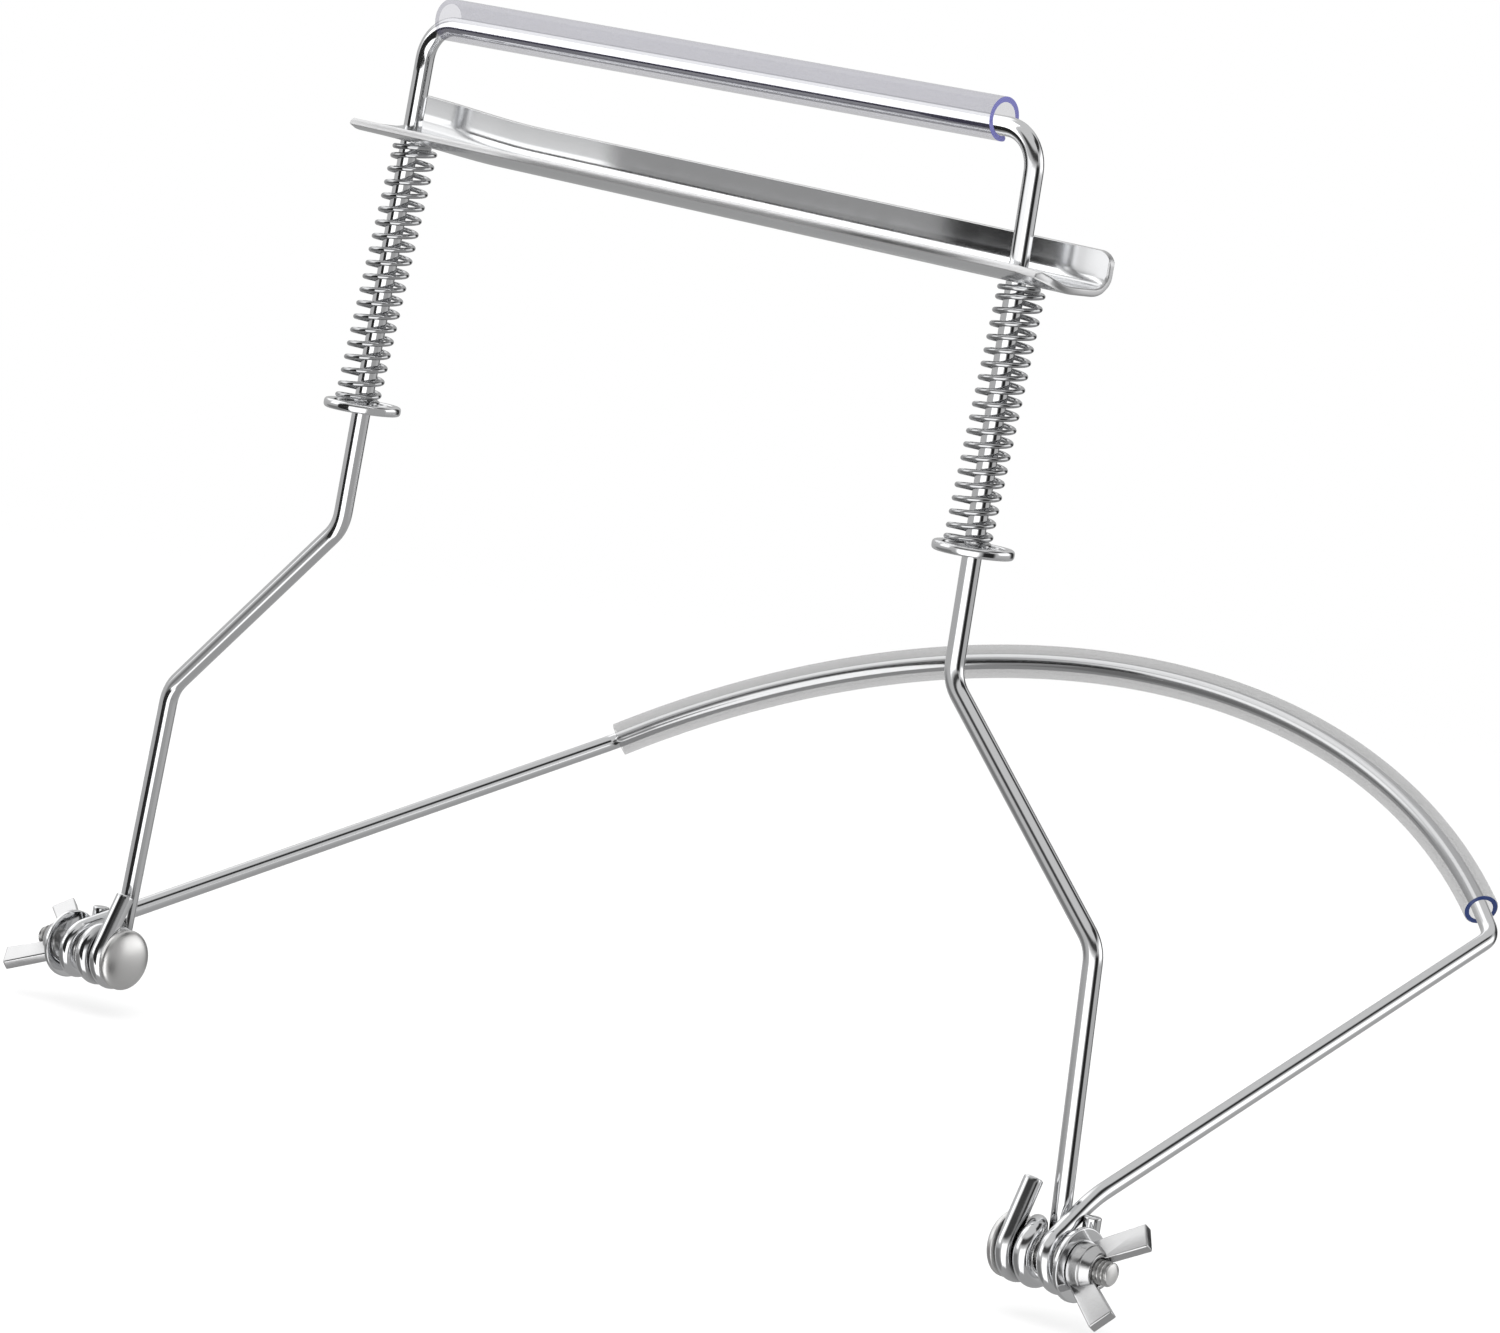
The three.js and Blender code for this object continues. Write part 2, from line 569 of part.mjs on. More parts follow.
function bolt() {
  const shank = BOLT_DIAMETER / 2, head = HEAD_DIAMETER / 2;
  const length = boltEnd - headFace;
  const profile = [[0, -HEAD_RIM - HEAD_RISE]];
  const domeSteps = 6;
  for (let k = 1; k <= domeSteps; k++) {
    const turned = ((Math.PI / 2) * k) / domeSteps;
    profile.push([head * Math.sin(turned), -HEAD_RIM - HEAD_RISE * Math.cos(turned)]);
  }
  profile.push([head, 0], [shank, 0]);
  for (let h = length - THREAD_LENGTH; h < length - THREAD_PITCH; h += THREAD_PITCH)
    profile.push([shank, h], [shank - THREAD_DEPTH, h + THREAD_PITCH / 2]);
  profile.push([shank, length - THREAD_DEPTH], [shank - THREAD_DEPTH, length], [0, length]);
  return lathe(profile, ROUND_SIDES * 0.75);
}

function pivotWasher() {
  const bore = WASHER_BORE / 2, rim = WASHER_DIAMETER / 2;
  return lathe([[bore, 0], [rim, 0], [rim, WASHER_THICKNESS], [bore, WASHER_THICKNESS], [bore, 0]]);
}

// A wing is a flat bar with a square end that flares out and away from the work.
function wing() {
  const tip = new THREE.Vector2(WING_TIP_RADIUS, WING_TIP_HEIGHT);
  const root = new THREE.Vector2(WING_ROOT_RADIUS, WING_ROOT_HEIGHT);
  const run = tip.clone().sub(root).normalize();
  const aside = new THREE.Vector2(-run.y, run.x);
  const corner = (at, width) => at.clone().add(aside.clone().multiplyScalar(width / 2));
  const outline = new THREE.Shape([
    corner(root, WING_ROOT_WIDTH), corner(root, -WING_ROOT_WIDTH),
    corner(tip, -WING_TIP_WIDTH), corner(tip, WING_TIP_WIDTH),
  ]);
  const blade = new THREE.ExtrudeGeometry(outline, { depth: WING_THICKNESS, bevelEnabled: false });
  blade.translate(0, 0, -WING_THICKNESS / 2);
  blade.rotateX(Math.PI / 2); // outline's x stays radial, its y becomes the axis
  return blade;
}
function wingNut(angle) {
  const bore = BOLT_DIAMETER / 2 + PIVOT_GAP;
  const hub = lathe([
    [bore, 0], [HUB_DIAMETER / 2, 0], [HUB_MIDDLE_DIAMETER / 2, HUB_STEP], [HUB_TOP_DIAMETER / 2, HUB_HEIGHT],
    [bore, HUB_HEIGHT], [bore, 0],
  ]);
  const oneWing = solid(wing());
  const wings = oneWing.add(oneWing.rotate([0, 0, 180]));
  const drilled = WING_TIP_HEIGHT + WING_TIP_WIDTH;
  const drill = solid(lathe([[0, -CUT_OVERRUN], [bore, -CUT_OVERRUN], [bore, drilled], [0, drilled]]));
  const seating = solid(new THREE.BoxGeometry(4 * WING_TIP_RADIUS, 4 * WING_TIP_RADIUS, 2 * CUT_OVERRUN)).translate([0, 0, -CUT_OVERRUN]);
  const nut = solid(hub).add(wings.subtract(drill)).subtract(seating);
  const geometry = geometryOf(nut);
  geometry.rotateZ(angle);
  return geometry;
}

for (const [name, side, wingAngle] of [
  ["left", -1, LEFT_WING_ANGLE],
  ["right", 1, RIGHT_WING_ANGLE],
]) {
  const springSeat = addPiece("spring_seat_" + name, seat(), polishedSteel);
  springSeat.position.set(side * BAR_HALF_WIDTH, FRAME_PLANE, SEAT_HEIGHT);

  const pivotBolt = addPiece("pivot_bolt_" + name, bolt().applyMatrix4(ontoX(side)), satinNickel);
  pivotBolt.position.x = side * headFace;

  const washer = addPiece("pivot_washer_" + name, pivotWasher().applyMatrix4(ontoX(side)), polishedSteel);
  washer.position.x = side * washerStart;

  // In the nut's own frame the wings lie along x, which ontoX turns down or up.
  const turned = side > 0 ? radians(wingAngle) + Math.PI / 2 : Math.PI / 2 - radians(wingAngle);
  const nut = addPiece("wing_nut_" + name, wingNut(turned).applyMatrix4(ontoX(side)), platedZinc);
  nut.position.x = side * nutStart;
}

// ---- The neck rest is the origin: the tube's inner side at the middle of the neck arc ----
const neckRest = neckPoint(0).sub(rising.clone().multiplyScalar(NECK_TUBE_DIAMETER / 2));
for (const piece of holder.children) piece.position.sub(neckRest);
console.log("swing axis at", neckRest.clone().negate().toArray().map((v) => v.toFixed(3)).join(", "));
for (const [name, value] of Object.entries({ headFace, washerStart, nutStart, boltEnd, YOKE_EYE_START, neckRadius, openPitch }))
  console.log(name, value.toFixed(3));

export default holder;
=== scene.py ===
import bpy
import bmesh
import numpy as np
from math import pi, radians, sin, cos, tan
from mathutils import Matrix


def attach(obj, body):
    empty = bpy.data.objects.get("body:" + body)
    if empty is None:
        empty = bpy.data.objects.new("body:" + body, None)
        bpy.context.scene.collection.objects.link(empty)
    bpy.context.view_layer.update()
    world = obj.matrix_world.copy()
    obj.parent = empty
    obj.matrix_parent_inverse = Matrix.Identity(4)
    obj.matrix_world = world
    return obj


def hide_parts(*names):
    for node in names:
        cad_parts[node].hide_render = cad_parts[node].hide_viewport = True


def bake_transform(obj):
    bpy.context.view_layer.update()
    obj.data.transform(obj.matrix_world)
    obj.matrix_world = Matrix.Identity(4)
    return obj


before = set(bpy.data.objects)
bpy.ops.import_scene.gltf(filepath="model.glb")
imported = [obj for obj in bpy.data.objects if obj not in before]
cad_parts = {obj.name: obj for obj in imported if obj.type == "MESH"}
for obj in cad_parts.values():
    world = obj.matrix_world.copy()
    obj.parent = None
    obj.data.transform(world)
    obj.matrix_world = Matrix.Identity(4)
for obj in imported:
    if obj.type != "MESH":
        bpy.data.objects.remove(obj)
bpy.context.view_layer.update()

# ---- Studio ----
# A pale floor that fades into a plain white surround, soft lights, and the
# panels, dark gaps and cards that bright plating needs to mirror.
SWING_AXIS = np.array((2.575, -115.005, -55.045))  # millimetres from the neck rest; shapes are laid out from it
SENSOR_WIDTH, LENS = 36, 166.66  # millimetres
CAMERA_PLACE = (0.600785, -0.770735, 0.100495)  # metres, as is all of the studio apart from its cards
LEVEL_TO_CAMERA, LEVEL_ASIDE = (0.6588, -0.7523, 0), (0.7523, 0.6588, 0)  # where azimuths of 0 and 90 degrees point
FLOOR_HEIGHT = -0.0632
FLOOR_CENTRE = (0, -0.05, FLOOR_HEIGHT)
FLOOR_RADIUS, FLOOR_SIDES = 1.3, 96
camera_data = bpy.data.cameras.new("camera")
camera_data.sensor_width = SENSOR_WIDTH
camera_data.lens = LENS
camera_data.clip_start = 0.01
camera = bpy.data.objects.new("camera", camera_data)
bpy.context.scene.collection.objects.link(camera)
look_right = np.array((0.73213, 0.66342, 0.15445))
look_down = np.array((0.18717, 0.02208, -0.98208))
look_forward = np.array((-0.65494, 0.74792, -0.10801))
camera.matrix_world = Matrix([
    (look_right[i], -look_down[i], -look_forward[i], CAMERA_PLACE[i]) for i in range(3)
] + [(0, 0, 0, 1)])
bpy.context.scene.camera = camera
bpy.context.scene.view_settings.view_transform = "Standard"
bpy.context.scene.view_settings.look = "None"


def node(tree, kind, *inputs, **settings):
    """Adds one node; each input is a value for its socket, or the output socket that feeds it, in order."""
    made = tree.nodes.new(kind)
    for name, value in settings.items():
        setattr(made, name, value)
    for socket, value in zip(made.inputs, inputs):
        if isinstance(value, bpy.types.NodeSocket):
            tree.links.new(value, socket)
        elif value is not None:
            socket.default_value = value
    return made


def maths(tree, operation, *inputs):
    """The output of one Math node."""
    return node(tree, "ShaderNodeMath", *inputs, operation=operation).outputs[0]


def smooth_step(tree, value, low, high, first=0.0, last=1.0):
    """From first to last as value goes from low to high, flat at both ends: first + (last - first)(3t² - 2t³), where
    t = (value - low) / (high - low)."""
    step = node(tree, "ShaderNodeMapRange", value, low, high, first, last, interpolation_type="SMOOTHSTEP")
    return step.outputs[0]


def zone(tree, azimuth, elevation, sides, heights, soft):
    """1 inside a patch of the surround between two azimuths and two elevations in degrees, and 0 outside: the product
    of four smooth steps, each from `soft` degrees before an edge to as far after it."""
    edges = []
    for value, (low, high) in ((azimuth, sides), (elevation, heights)):
        edges.append(smooth_step(tree, value, radians(low - soft), radians(low + soft)))
        edges.append(smooth_step(tree, value, radians(high - soft), radians(high + soft), 1.0, 0.0))
    inside = edges[0]
    for edge in edges[1:]:
        inside = maths(tree, "MULTIPLY", inside, edge)
    return inside


world = bpy.data.worlds.new("studio")
bpy.context.scene.world = world
world.use_nodes = True
sky = world.node_tree
sky.nodes.clear()
heading = node(sky, "ShaderNodeTexCoord").outputs["Generated"]
towards = node(sky, "ShaderNodeVectorMath", heading, LEVEL_TO_CAMERA, operation="DOT_PRODUCT").outputs["Value"]
aside = node(sky, "ShaderNodeVectorMath", heading, LEVEL_ASIDE, operation="DOT_PRODUCT").outputs["Value"]
upward = node(sky, "ShaderNodeSeparateXYZ", heading).outputs["Z"]
azimuth = maths(sky, "ARCTAN2", aside, towards)
elevation = maths(sky, "ARCSINE", upward)
# grey that grows lighter from the bottom to the top, and on it patches: brightness, azimuths, elevations, soft edge
surround = smooth_step(sky, upward, -0.75, 0.75, 0.34, 0.6)
for brightness, sides, heights, soft in (
    (1.5, (-46, 16), (-62, 6), 6),
    (0.02, (26, 64), (-30, 14), 6),
    (0.05, (-60, 50), (17, 38), 6),
    (1.15, (-130, -84), (34, 62), 5),
    (1.4, (-106, -72), (2, 30), 4),
    (0.2, (-128, -64), (-62, -10), 4),
    (1.4, (76, 122), (1, 27), 5),
    (0.03, (58, 126), (37, 62), 5),
    (1.3, (-165, -118), (20, 60), 7),
    (0.03, (128, 152), (-12, 30), 7),
):
    patch = zone(sky, azimuth, elevation, sides, heights, soft)
    surround = node(sky, "ShaderNodeMix", patch, None, surround, brightness).outputs[0]
seen = node(sky, "ShaderNodeMix", node(sky, "ShaderNodeLightPath").outputs["Is Camera Ray"], None, surround, 1.0)
background = node(sky, "ShaderNodeBackground", seen.outputs[0], 1.0)
node(sky, "ShaderNodeOutputWorld", background.outputs[0])


def soft_light(name, place, aim, size, power):
    """A square soft light of `size` metres at `place`, turned to face `aim`, that no plating mirrors."""
    data = bpy.data.lights.new(name, "AREA")
    data.shape = "SQUARE"
    data.size = size
    data.energy = power
    lamp = bpy.data.objects.new(name, data)
    lamp.visible_glossy = False
    bpy.context.scene.collection.objects.link(lamp)
    beam = np.array(aim, float) - np.array(place, float)
    beam /= np.linalg.norm(beam)
    side = np.cross(beam, (0, 0, 1) if abs(beam[2]) < 0.98 else (0, 1, 0))
    side /= np.linalg.norm(side)
    over = np.cross(side, beam)
    lamp.matrix_world = Matrix([(side[i], over[i], -beam[i], place[i]) for i in range(3)] + [(0, 0, 0, 1)])


soft_light("overhead_light", (0.1, -0.2, 1.3), (0, -0.08, 0), size=2.2, power=26)
soft_light("front_light", (0.5, -1.0, 0.7), (0, -0.1, 0), size=0.9, power=6)


def empty_material(name):
    """A new material whose node tree is empty."""
    material = bpy.data.materials.new(name)
    material.use_nodes = True
    material.node_tree.nodes.clear()
    return material


def card(name, start, end, bottom, top, low, high=None, fade=(0, 1)):
    """An upright one-sided card that only plating mirrors, from start to end (x, y in millimetres from the swing axis).
    It faces the right-hand side of that run, and glows from `low` to `high` as its x goes through `fade`."""
    corners = [(*start, bottom), (*end, bottom), (*end, top), (*start, top)]
    mesh = bpy.data.meshes.new(name)
    mesh.from_pydata([tuple((np.array(corner) + SWING_AXIS) / 1000) for corner in corners], [], [(0, 1, 2, 3)])
    made = bpy.data.objects.new(name, mesh)
    bpy.context.scene.collection.objects.link(made)
    made.visible_camera = made.visible_diffuse = made.visible_shadow = made.visible_transmission = False
    material = empty_material(name)
    tree = material.node_tree
    run = node(tree, "ShaderNodeSeparateXYZ", node(tree, "ShaderNodeTexCoord").outputs["Object"]).outputs["X"]
    glow = smooth_step(tree, run, *((x + SWING_AXIS[0]) / 1000 for x in fade), low, low if high is None else high)
    facing = node(
        tree, "ShaderNodeMixShader", node(tree, "ShaderNodeNewGeometry").outputs["Backfacing"],
        node(tree, "ShaderNodeEmission", (1, 1, 1, 1), glow).outputs[0],
        node(tree, "ShaderNodeBsdfTransparent").outputs[0],
    )
    node(tree, "ShaderNodeOutputMaterial", facing.outputs[0])
    mesh.materials.append(material)


# the first two darken what the wires and nuts mirror, and the others shade what the plate and the top bar mirror
card("dark_card", (-44.6, -96.3), (-322.5, -428.6), -60, 160, 0.02)
card("grey_card", (-2.1, 31.3), (2.8, -30.5), -12, 113, 0.36)
card("plate_card", (58, -8), (24, -8), 117, 131, 0.02, 1.1, (41, 50))
card("bar_card", (24, -8), (-66, -8), 126.5, 131.5, 0.02)
card("wall_card", (24, -8), (-36, -8), 117, 126.5, 0.3)
card("glow_card", (45, -8), (-66, -8), 131.5, 168, 1.9)

floor_mesh = bpy.data.meshes.new("floor")
around = np.linspace(0, 2 * pi, FLOOR_SIDES, endpoint=False)
rim = np.stack([np.cos(around), np.sin(around), np.zeros(FLOOR_SIDES)], axis=1) * FLOOR_RADIUS + FLOOR_CENTRE
floor_mesh.from_pydata(rim.tolist(), [], [list(range(FLOOR_SIDES))])
floor = bpy.data.objects.new("floor", floor_mesh)
bpy.context.scene.collection.objects.link(floor)
floor.visible_glossy = False
floor_material = empty_material("floor")
shade = floor_material.node_tree
spot = node(shade, "ShaderNodeTexCoord").outputs["Object"]
reach = node(shade, "ShaderNodeVectorMath", spot, FLOOR_CENTRE, operation="DISTANCE").outputs["Value"]
paper = node(shade, "ShaderNodeBsdfDiffuse", (0.93, 0.93, 0.93, 1))
faded = node(
    shade, "ShaderNodeMixShader", smooth_step(shade, reach, 0.2, 0.7, 0.72), paper.outputs[0],
    node(shade, "ShaderNodeBsdfTransparent").outputs[0],
)
node(shade, "ShaderNodeOutputMaterial", faded.outputs[0])
floor_mesh.materials.append(floor_material)

# ---- Neck yoke ----
# One round steel wire, nickel plated and polished, bent at two corners so that
# its arms reach forward, and wound at each end into an eye with a short tail.
# The pivot bolts run through the eyes.
YOKE_WIRE = 2.25
EYE_RADIUS = 3.2  # to the wire's centre, as are all of a wire's lengths
YOKE_EYE_START = 87.98
YOKE_EYE_TURNS = 0.75  # from the top of the eye to its back
YOKE_PITCH = 2.32
ARM_TILT = radians(18.2)
ARM_TOE_IN = radians(6.6)
LEFT_ARM_LENGTH, RIGHT_ARM_LENGTH = 94.5, 105.5
NECK_ARC_TILT = radians(44)
NECK_ARC_RISE = 32.6
LEFT_CORNER_BEND, RIGHT_CORNER_BEND = 3.2, 5.0
RIGHT_CORNER_SHIFT = (-1.6, 0, 0.4)
RIGHT_ARM_LIFT = (0, 0, 1.8)  # the right arm is this much higher at RIGHT_KINK from its eye, where it bends
RIGHT_KINK, RIGHT_KINK_BEND = 7.0, 25.0
YOKE_TAIL = 5.5


def rounded_path(corners, radii, steps=14):
    """A path whose corners are true arcs: each meets its corner's two sides at radius / tan(half the angle between
    them) from the corner, and its centre lies at radius / sin(that half)."""
    corners = [np.array(corner, float) for corner in corners]
    path = [corners[0][None]]
    for before, at, after, radius in zip(corners, corners[1:], corners[2:], radii):
        back, on = before - at, after - at
        back, on = back / np.linalg.norm(back), on / np.linalg.norm(on)
        half = np.arccos(np.clip(back @ on, -1, 1)) / 2
        middle = at + (back + on) / np.linalg.norm(back + on) * radius / sin(half)
        start, end = at + back * radius / tan(half) - middle, at + on * radius / tan(half) - middle
        turn = pi - 2 * half
        share = np.linspace(0, 1, steps + 1)[:, None]
        path.append(middle + (np.sin((1 - share) * turn) * start + np.sin(share * turn) * end) / sin(turn))
    return np.concatenate(path + [corners[-1][None]])


def even_path(path, spacing, settle=0.0):
    """The same path at even steps; each point then becomes the weighted mean of the stretch `settle` long around it."""
    run = np.concatenate([[0], np.cumsum(np.linalg.norm(np.diff(path, axis=0), axis=1))])
    count = max(int(round(run[-1] / spacing)), 2)
    even = np.linspace(0, run[-1], count + 1)
    path = np.stack([np.interp(even, run, path[:, i]) for i in range(3)], axis=1)
    reach = int(settle / spacing / 2)
    if reach:
        first = path[0] + (path[0] - path[1]) * np.arange(reach, 0, -1)[:, None]
        last = path[-1] + (path[-1] - path[-2]) * np.arange(1, reach + 1)[:, None]
        padded = np.concatenate([first, path, last])
        weight = np.hanning(2 * reach + 3)[1:-1]
        path = np.stack([np.convolve(padded[:, i], weight / weight.sum(), "valid") for i in range(3)], axis=1)
    return path


def carried_section(path, radius, sides, ends=0.0):
    """A round section carried along a path without twist: point = path + radius (cos a · side + sin a · over).
    At both ends the radius comes in by `ends` along a quarter circle, so that the cut edge is broken."""
    along = np.gradient(path, axis=0)
    along /= np.linalg.norm(along, axis=1)[:, None]
    side = np.cross(along[0], (0.31, 0.17, 0.93))  # no path here starts in this direction
    sides_of = np.empty_like(path)
    for i, heading_here in enumerate(along):
        side = side - heading_here * (side @ heading_here)
        side /= np.linalg.norm(side)
        sides_of[i] = side
    over = np.cross(along, sides_of)
    radii = np.full(len(path), radius)
    if ends:
        quarter = np.linspace(0, pi / 2, 5)
        out, inward = ends * (1 - np.cos(quarter)), ends * (1 - np.sin(quarter))
        head = path[0] + along[0] * out[:, None]
        foot = path[-1] - along[-1] * out[::-1, None]
        from_head, from_foot = (np.linalg.norm(path - path[i], axis=1) for i in (0, -1))
        keep = np.minimum(from_head, from_foot) > ends * 1.5  # well past the rounding, so that no rings cross
        path = np.concatenate([head, path[keep], foot])
        sides_of, over = (
            np.concatenate([np.repeat(of[:1], len(quarter), 0), of[keep], np.repeat(of[-1:], len(quarter), 0)])
            for of in (sides_of, over)
        )
        radii = np.concatenate([radius - inward, radii[keep], (radius - inward)[::-1]])
    angle = np.linspace(0, 2 * pi, sides, endpoint=False)[None, :, None]
    return path[:, None] + radii[:, None, None] * (np.cos(angle) * sides_of[:, None] + np.sin(angle) * over[:, None])


def grid_shell(grid, ring=False, capped=True):
    """Points and faces of a grid of rings: each row closes on itself. The last row joins the first for a ring, or else
    the first and last rows are filled with caps."""
    rows, columns = grid.shape[:2]
    number = np.arange(rows * columns).reshape(rows, columns)
    if ring:
        number = np.concatenate([number, number[:1]])
    here, there = number[:-1], number[1:]
    faces = np.stack([here, np.roll(here, -1, 1), np.roll(there, -1, 1), there], axis=-1).reshape(-1, 4)
    points = grid.reshape(-1, 3)
    corner = points[faces]
    first, second = corner[:, 2] - corner[:, 0], corner[:, 3] - corner[:, 1]
    centre = corner.mean(axis=1) - points.mean(axis=0)
    outward = np.einsum("ij,ij->", np.cross(first, second), centre) > 0
    faces = faces.tolist() if outward else faces[:, ::-1].tolist()
    if capped and not ring:
        start, end = number[0].tolist(), number[-1].tolist()
        faces += [start[::-1], end] if outward else [start, end[::-1]]
    return points, faces


def wire_shell(path, diameter, spacing, settle, sides, ends):
    """A round wire along a path that is evened out first, and rounded by `ends` at its cut ends."""
    return grid_shell(carried_section(even_path(path, spacing, settle), diameter / 2, sides, ends))


def new_material(name):
    """A new material, its node tree, and the Principled shader in it."""
    material = bpy.data.materials.new(name)
    material.use_nodes = True
    return material, material.node_tree, material.node_tree.nodes["Principled BSDF"]


def metal_finish(name, colour, roughness, wander, grain, relief, crevice=0.0022):
    """Bare or plated metal: its roughness wanders by `wander` with a noise of `grain` ripples per metre, and a finer
    noise lifts its surface by `relief` metres. Painted shade: ambient occlusion darkens its base colour in its own
    folds that are narrower than `crevice` metres."""
    material, tree, surface = new_material(name)
    # painted shade: the base colour goes dark where the piece's own surface closes in within `crevice` metres
    painted_crevice_shade = node(tree, "ShaderNodeAmbientOcclusion", (*colour, 1), crevice, samples=8, only_local=True)
    tree.links.new(painted_crevice_shade.outputs["Color"], surface.inputs["Base Color"])
    surface.inputs["Metallic"].default_value = 1.0
    spot = node(tree, "ShaderNodeTexCoord").outputs["Object"]
    cloud = node(tree, "ShaderNodeTexNoise", spot, None, grain, 4.0, 0.6).outputs[0]
    worn = node(tree, "ShaderNodeMapRange", cloud, 0.3, 0.7, roughness - wander, roughness + wander).outputs[0]
    tree.links.new(worn, surface.inputs["Roughness"])
    if relief:
        fine = node(tree, "ShaderNodeTexNoise", spot, None, grain * 9, 3.0, 0.55).outputs[0]
        raised = node(tree, "ShaderNodeBump", 1.0, relief, None, fine)
        tree.links.new(raised.outputs[0], surface.inputs["Normal"])
    return material


def make_piece(name, shells, materials, sharp=38):
    """One mesh object in metres from the neck rest, of closed shells in millimetres from the swing axis: (point + swing
    axis) / 1000. Edges over `sharp` degrees stay crisp."""
    points, faces = [], []
    for shell_points, shell_faces in shells:
        start = sum(len(p) for p in points)
        points.append(shell_points)
        faces += [[start + i for i in face] for face in shell_faces]
    mesh = bpy.data.meshes.new(name)
    mesh.from_pydata(((np.concatenate(points) + SWING_AXIS) / 1000).tolist(), [], faces)
    mesh.update()
    mesh.shade_smooth()
    mesh.set_sharp_from_angle(angle=radians(sharp))
    for material in materials:
        mesh.materials.append(material)
    piece = bpy.data.objects.new(name, mesh)
    bpy.context.scene.collection.objects.link(piece)
    return piece


def arm_start(side):
    """The top of the yoke's eye, where the arm leaves it: the eye's radius square to the arm."""
    return np.array((side * YOKE_EYE_START, -EYE_RADIUS * sin(ARM_TILT), EYE_RADIUS * cos(ARM_TILT)))


def arm_point(side, length, aside=(0, 0, 0)):
    """A point of an arm: its start + length · a direction tilted up and toed in + how far the point stands aside."""
    run = (-side * sin(ARM_TOE_IN), cos(ARM_TOE_IN) * cos(ARM_TILT), cos(ARM_TOE_IN) * sin(ARM_TILT))
    return arm_start(side) + np.array(run) * length + aside


def yoke_eye(side):
    """A helix about the swing axis from the arm round the front to the back, then a straight tail upwards: (side ·
    (start + pitch · turned / 2π), -radius sin a, radius cos a) with a = arm's tilt + turned."""
    turned = np.linspace(0, YOKE_EYE_TURNS * 2 * pi - ARM_TILT, 60)
    coil = np.stack([
        side * (YOKE_EYE_START + YOKE_PITCH * turned / (2 * pi)),
        -EYE_RADIUS * np.sin(ARM_TILT + turned), EYE_RADIUS * np.cos(ARM_TILT + turned),
    ], axis=1)
    return np.concatenate([coil, coil[-1:] + (0, 0, YOKE_TAIL)])


left_corner = arm_point(-1, LEFT_ARM_LENGTH)
right_corner = arm_point(1, RIGHT_ARM_LENGTH, RIGHT_CORNER_SHIFT)
chord = right_corner - left_corner
half_chord = np.linalg.norm(chord) / 2
across = chord / np.linalg.norm(chord)
rising = np.array((0, cos(NECK_ARC_TILT), sin(NECK_ARC_TILT)))
rising -= across * (rising @ across)
rising /= np.linalg.norm(rising)
neck_radius = (half_chord**2 + NECK_ARC_RISE**2) / (2 * NECK_ARC_RISE)
neck_half_angle = np.arcsin(half_chord / neck_radius)


def neck_arc(first, last, count):
    """A circular arc through both corners: centre + radius (sin a · across + cos a · rising), where the centre lies
    radius - rise under the chord's middle."""
    angle = np.linspace(first, last, count)[:, None]
    centre = (left_corner + right_corner) / 2 - rising * (neck_radius - NECK_ARC_RISE)
    return centre + neck_radius * (np.sin(angle) * across + np.cos(angle) * rising)


corner_trim = 2 * LEFT_CORNER_BEND / neck_radius  # the arc gives way to each corner's bend
neck_run = neck_arc(corner_trim - neck_half_angle, neck_half_angle - corner_trim, 160)
left_bend = rounded_path([arm_start(-1), left_corner, neck_run[0]], [LEFT_CORNER_BEND])[1:-1]
right_bend = rounded_path(
    [neck_run[-1], right_corner, arm_point(1, RIGHT_KINK, RIGHT_ARM_LIFT), arm_start(1)],
    [RIGHT_CORNER_BEND, RIGHT_KINK_BEND],
)[1:-1]
yoke_path = np.concatenate([yoke_eye(-1)[::-1], left_bend, neck_run, right_bend, yoke_eye(1)])
bright_plating = metal_finish(
    "bright_plating", (0.86, 0.865, 0.875), roughness=0.1, wander=0.025, grain=260, relief=0.000002,
)
neck_yoke = make_piece(
    "neck_yoke_wire", [wire_shell(yoke_path, YOKE_WIRE, spacing=0.3, settle=1.5, sides=28, ends=0.22)],
    [bright_plating],
)
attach(neck_yoke, "neck_yoke")
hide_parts("neck_yoke")

# ---- Neck tube ----
# Clear soft vinyl tube, pushed over the neck arc before the yoke was bent. Its ends are plain cuts, where the thick
# wall gathers light and looks blue; that light is painted as a blue colour on the right cut.
TUBE_DIAMETER = 4.8
TUBE_WALL = 0.75
TUBE_LEFT_SETBACK, TUBE_RIGHT_SETBACK = 0.9, 5.8
TUBE_SIDES = 40
TUBE_COLOUR = (0.03, 0.03, 0.03)
OUTER, CUT, BORE = 0, 1, 2  # the vinyl's surfaces, in the order of their materials


def clear_vinyl(name, colour, least, most):
    """Clear plastic: its surface holds back `least` of the light where it faces the viewer and `most` at its edges."""
    material, tree, surface = new_material(name)
    surface.inputs["Base Color"].default_value = (*colour, 1)
    surface.inputs["Roughness"].default_value = 0.16
    surface.inputs["IOR"].default_value = 1.5
    edge = node(tree, "ShaderNodeLayerWeight", 0.35).outputs["Facing"]
    tree.links.new(smooth_step(tree, edge, 0.3, 1.0, least, most), surface.inputs["Alpha"])
    spot = node(tree, "ShaderNodeTexCoord").outputs["Object"]
    ripple = node(tree, "ShaderNodeTexNoise", spot, None, 160.0, 2.0, 0.5).outputs[0]
    raised = node(tree, "ShaderNodeBump", 1.0, 0.00005, None, ripple)
    tree.links.new(raised.outputs[0], surface.inputs["Normal"])
    return material


def cut_vinyl(name, colour):
    """The cut end of clear plastic, where light from along the wall comes out tinted: painted light, an opaque blue
    colour in place of that light.
    """
    material, _, surface = new_material(name)
    surface.inputs["Base Color"].default_value = (*colour, 1)
    surface.inputs["Roughness"].default_value = 0.25
    return material


tube_path = neck_arc(
    TUBE_LEFT_SETBACK / neck_radius - neck_half_angle, neck_half_angle - TUBE_RIGHT_SETBACK / neck_radius, 320,
)
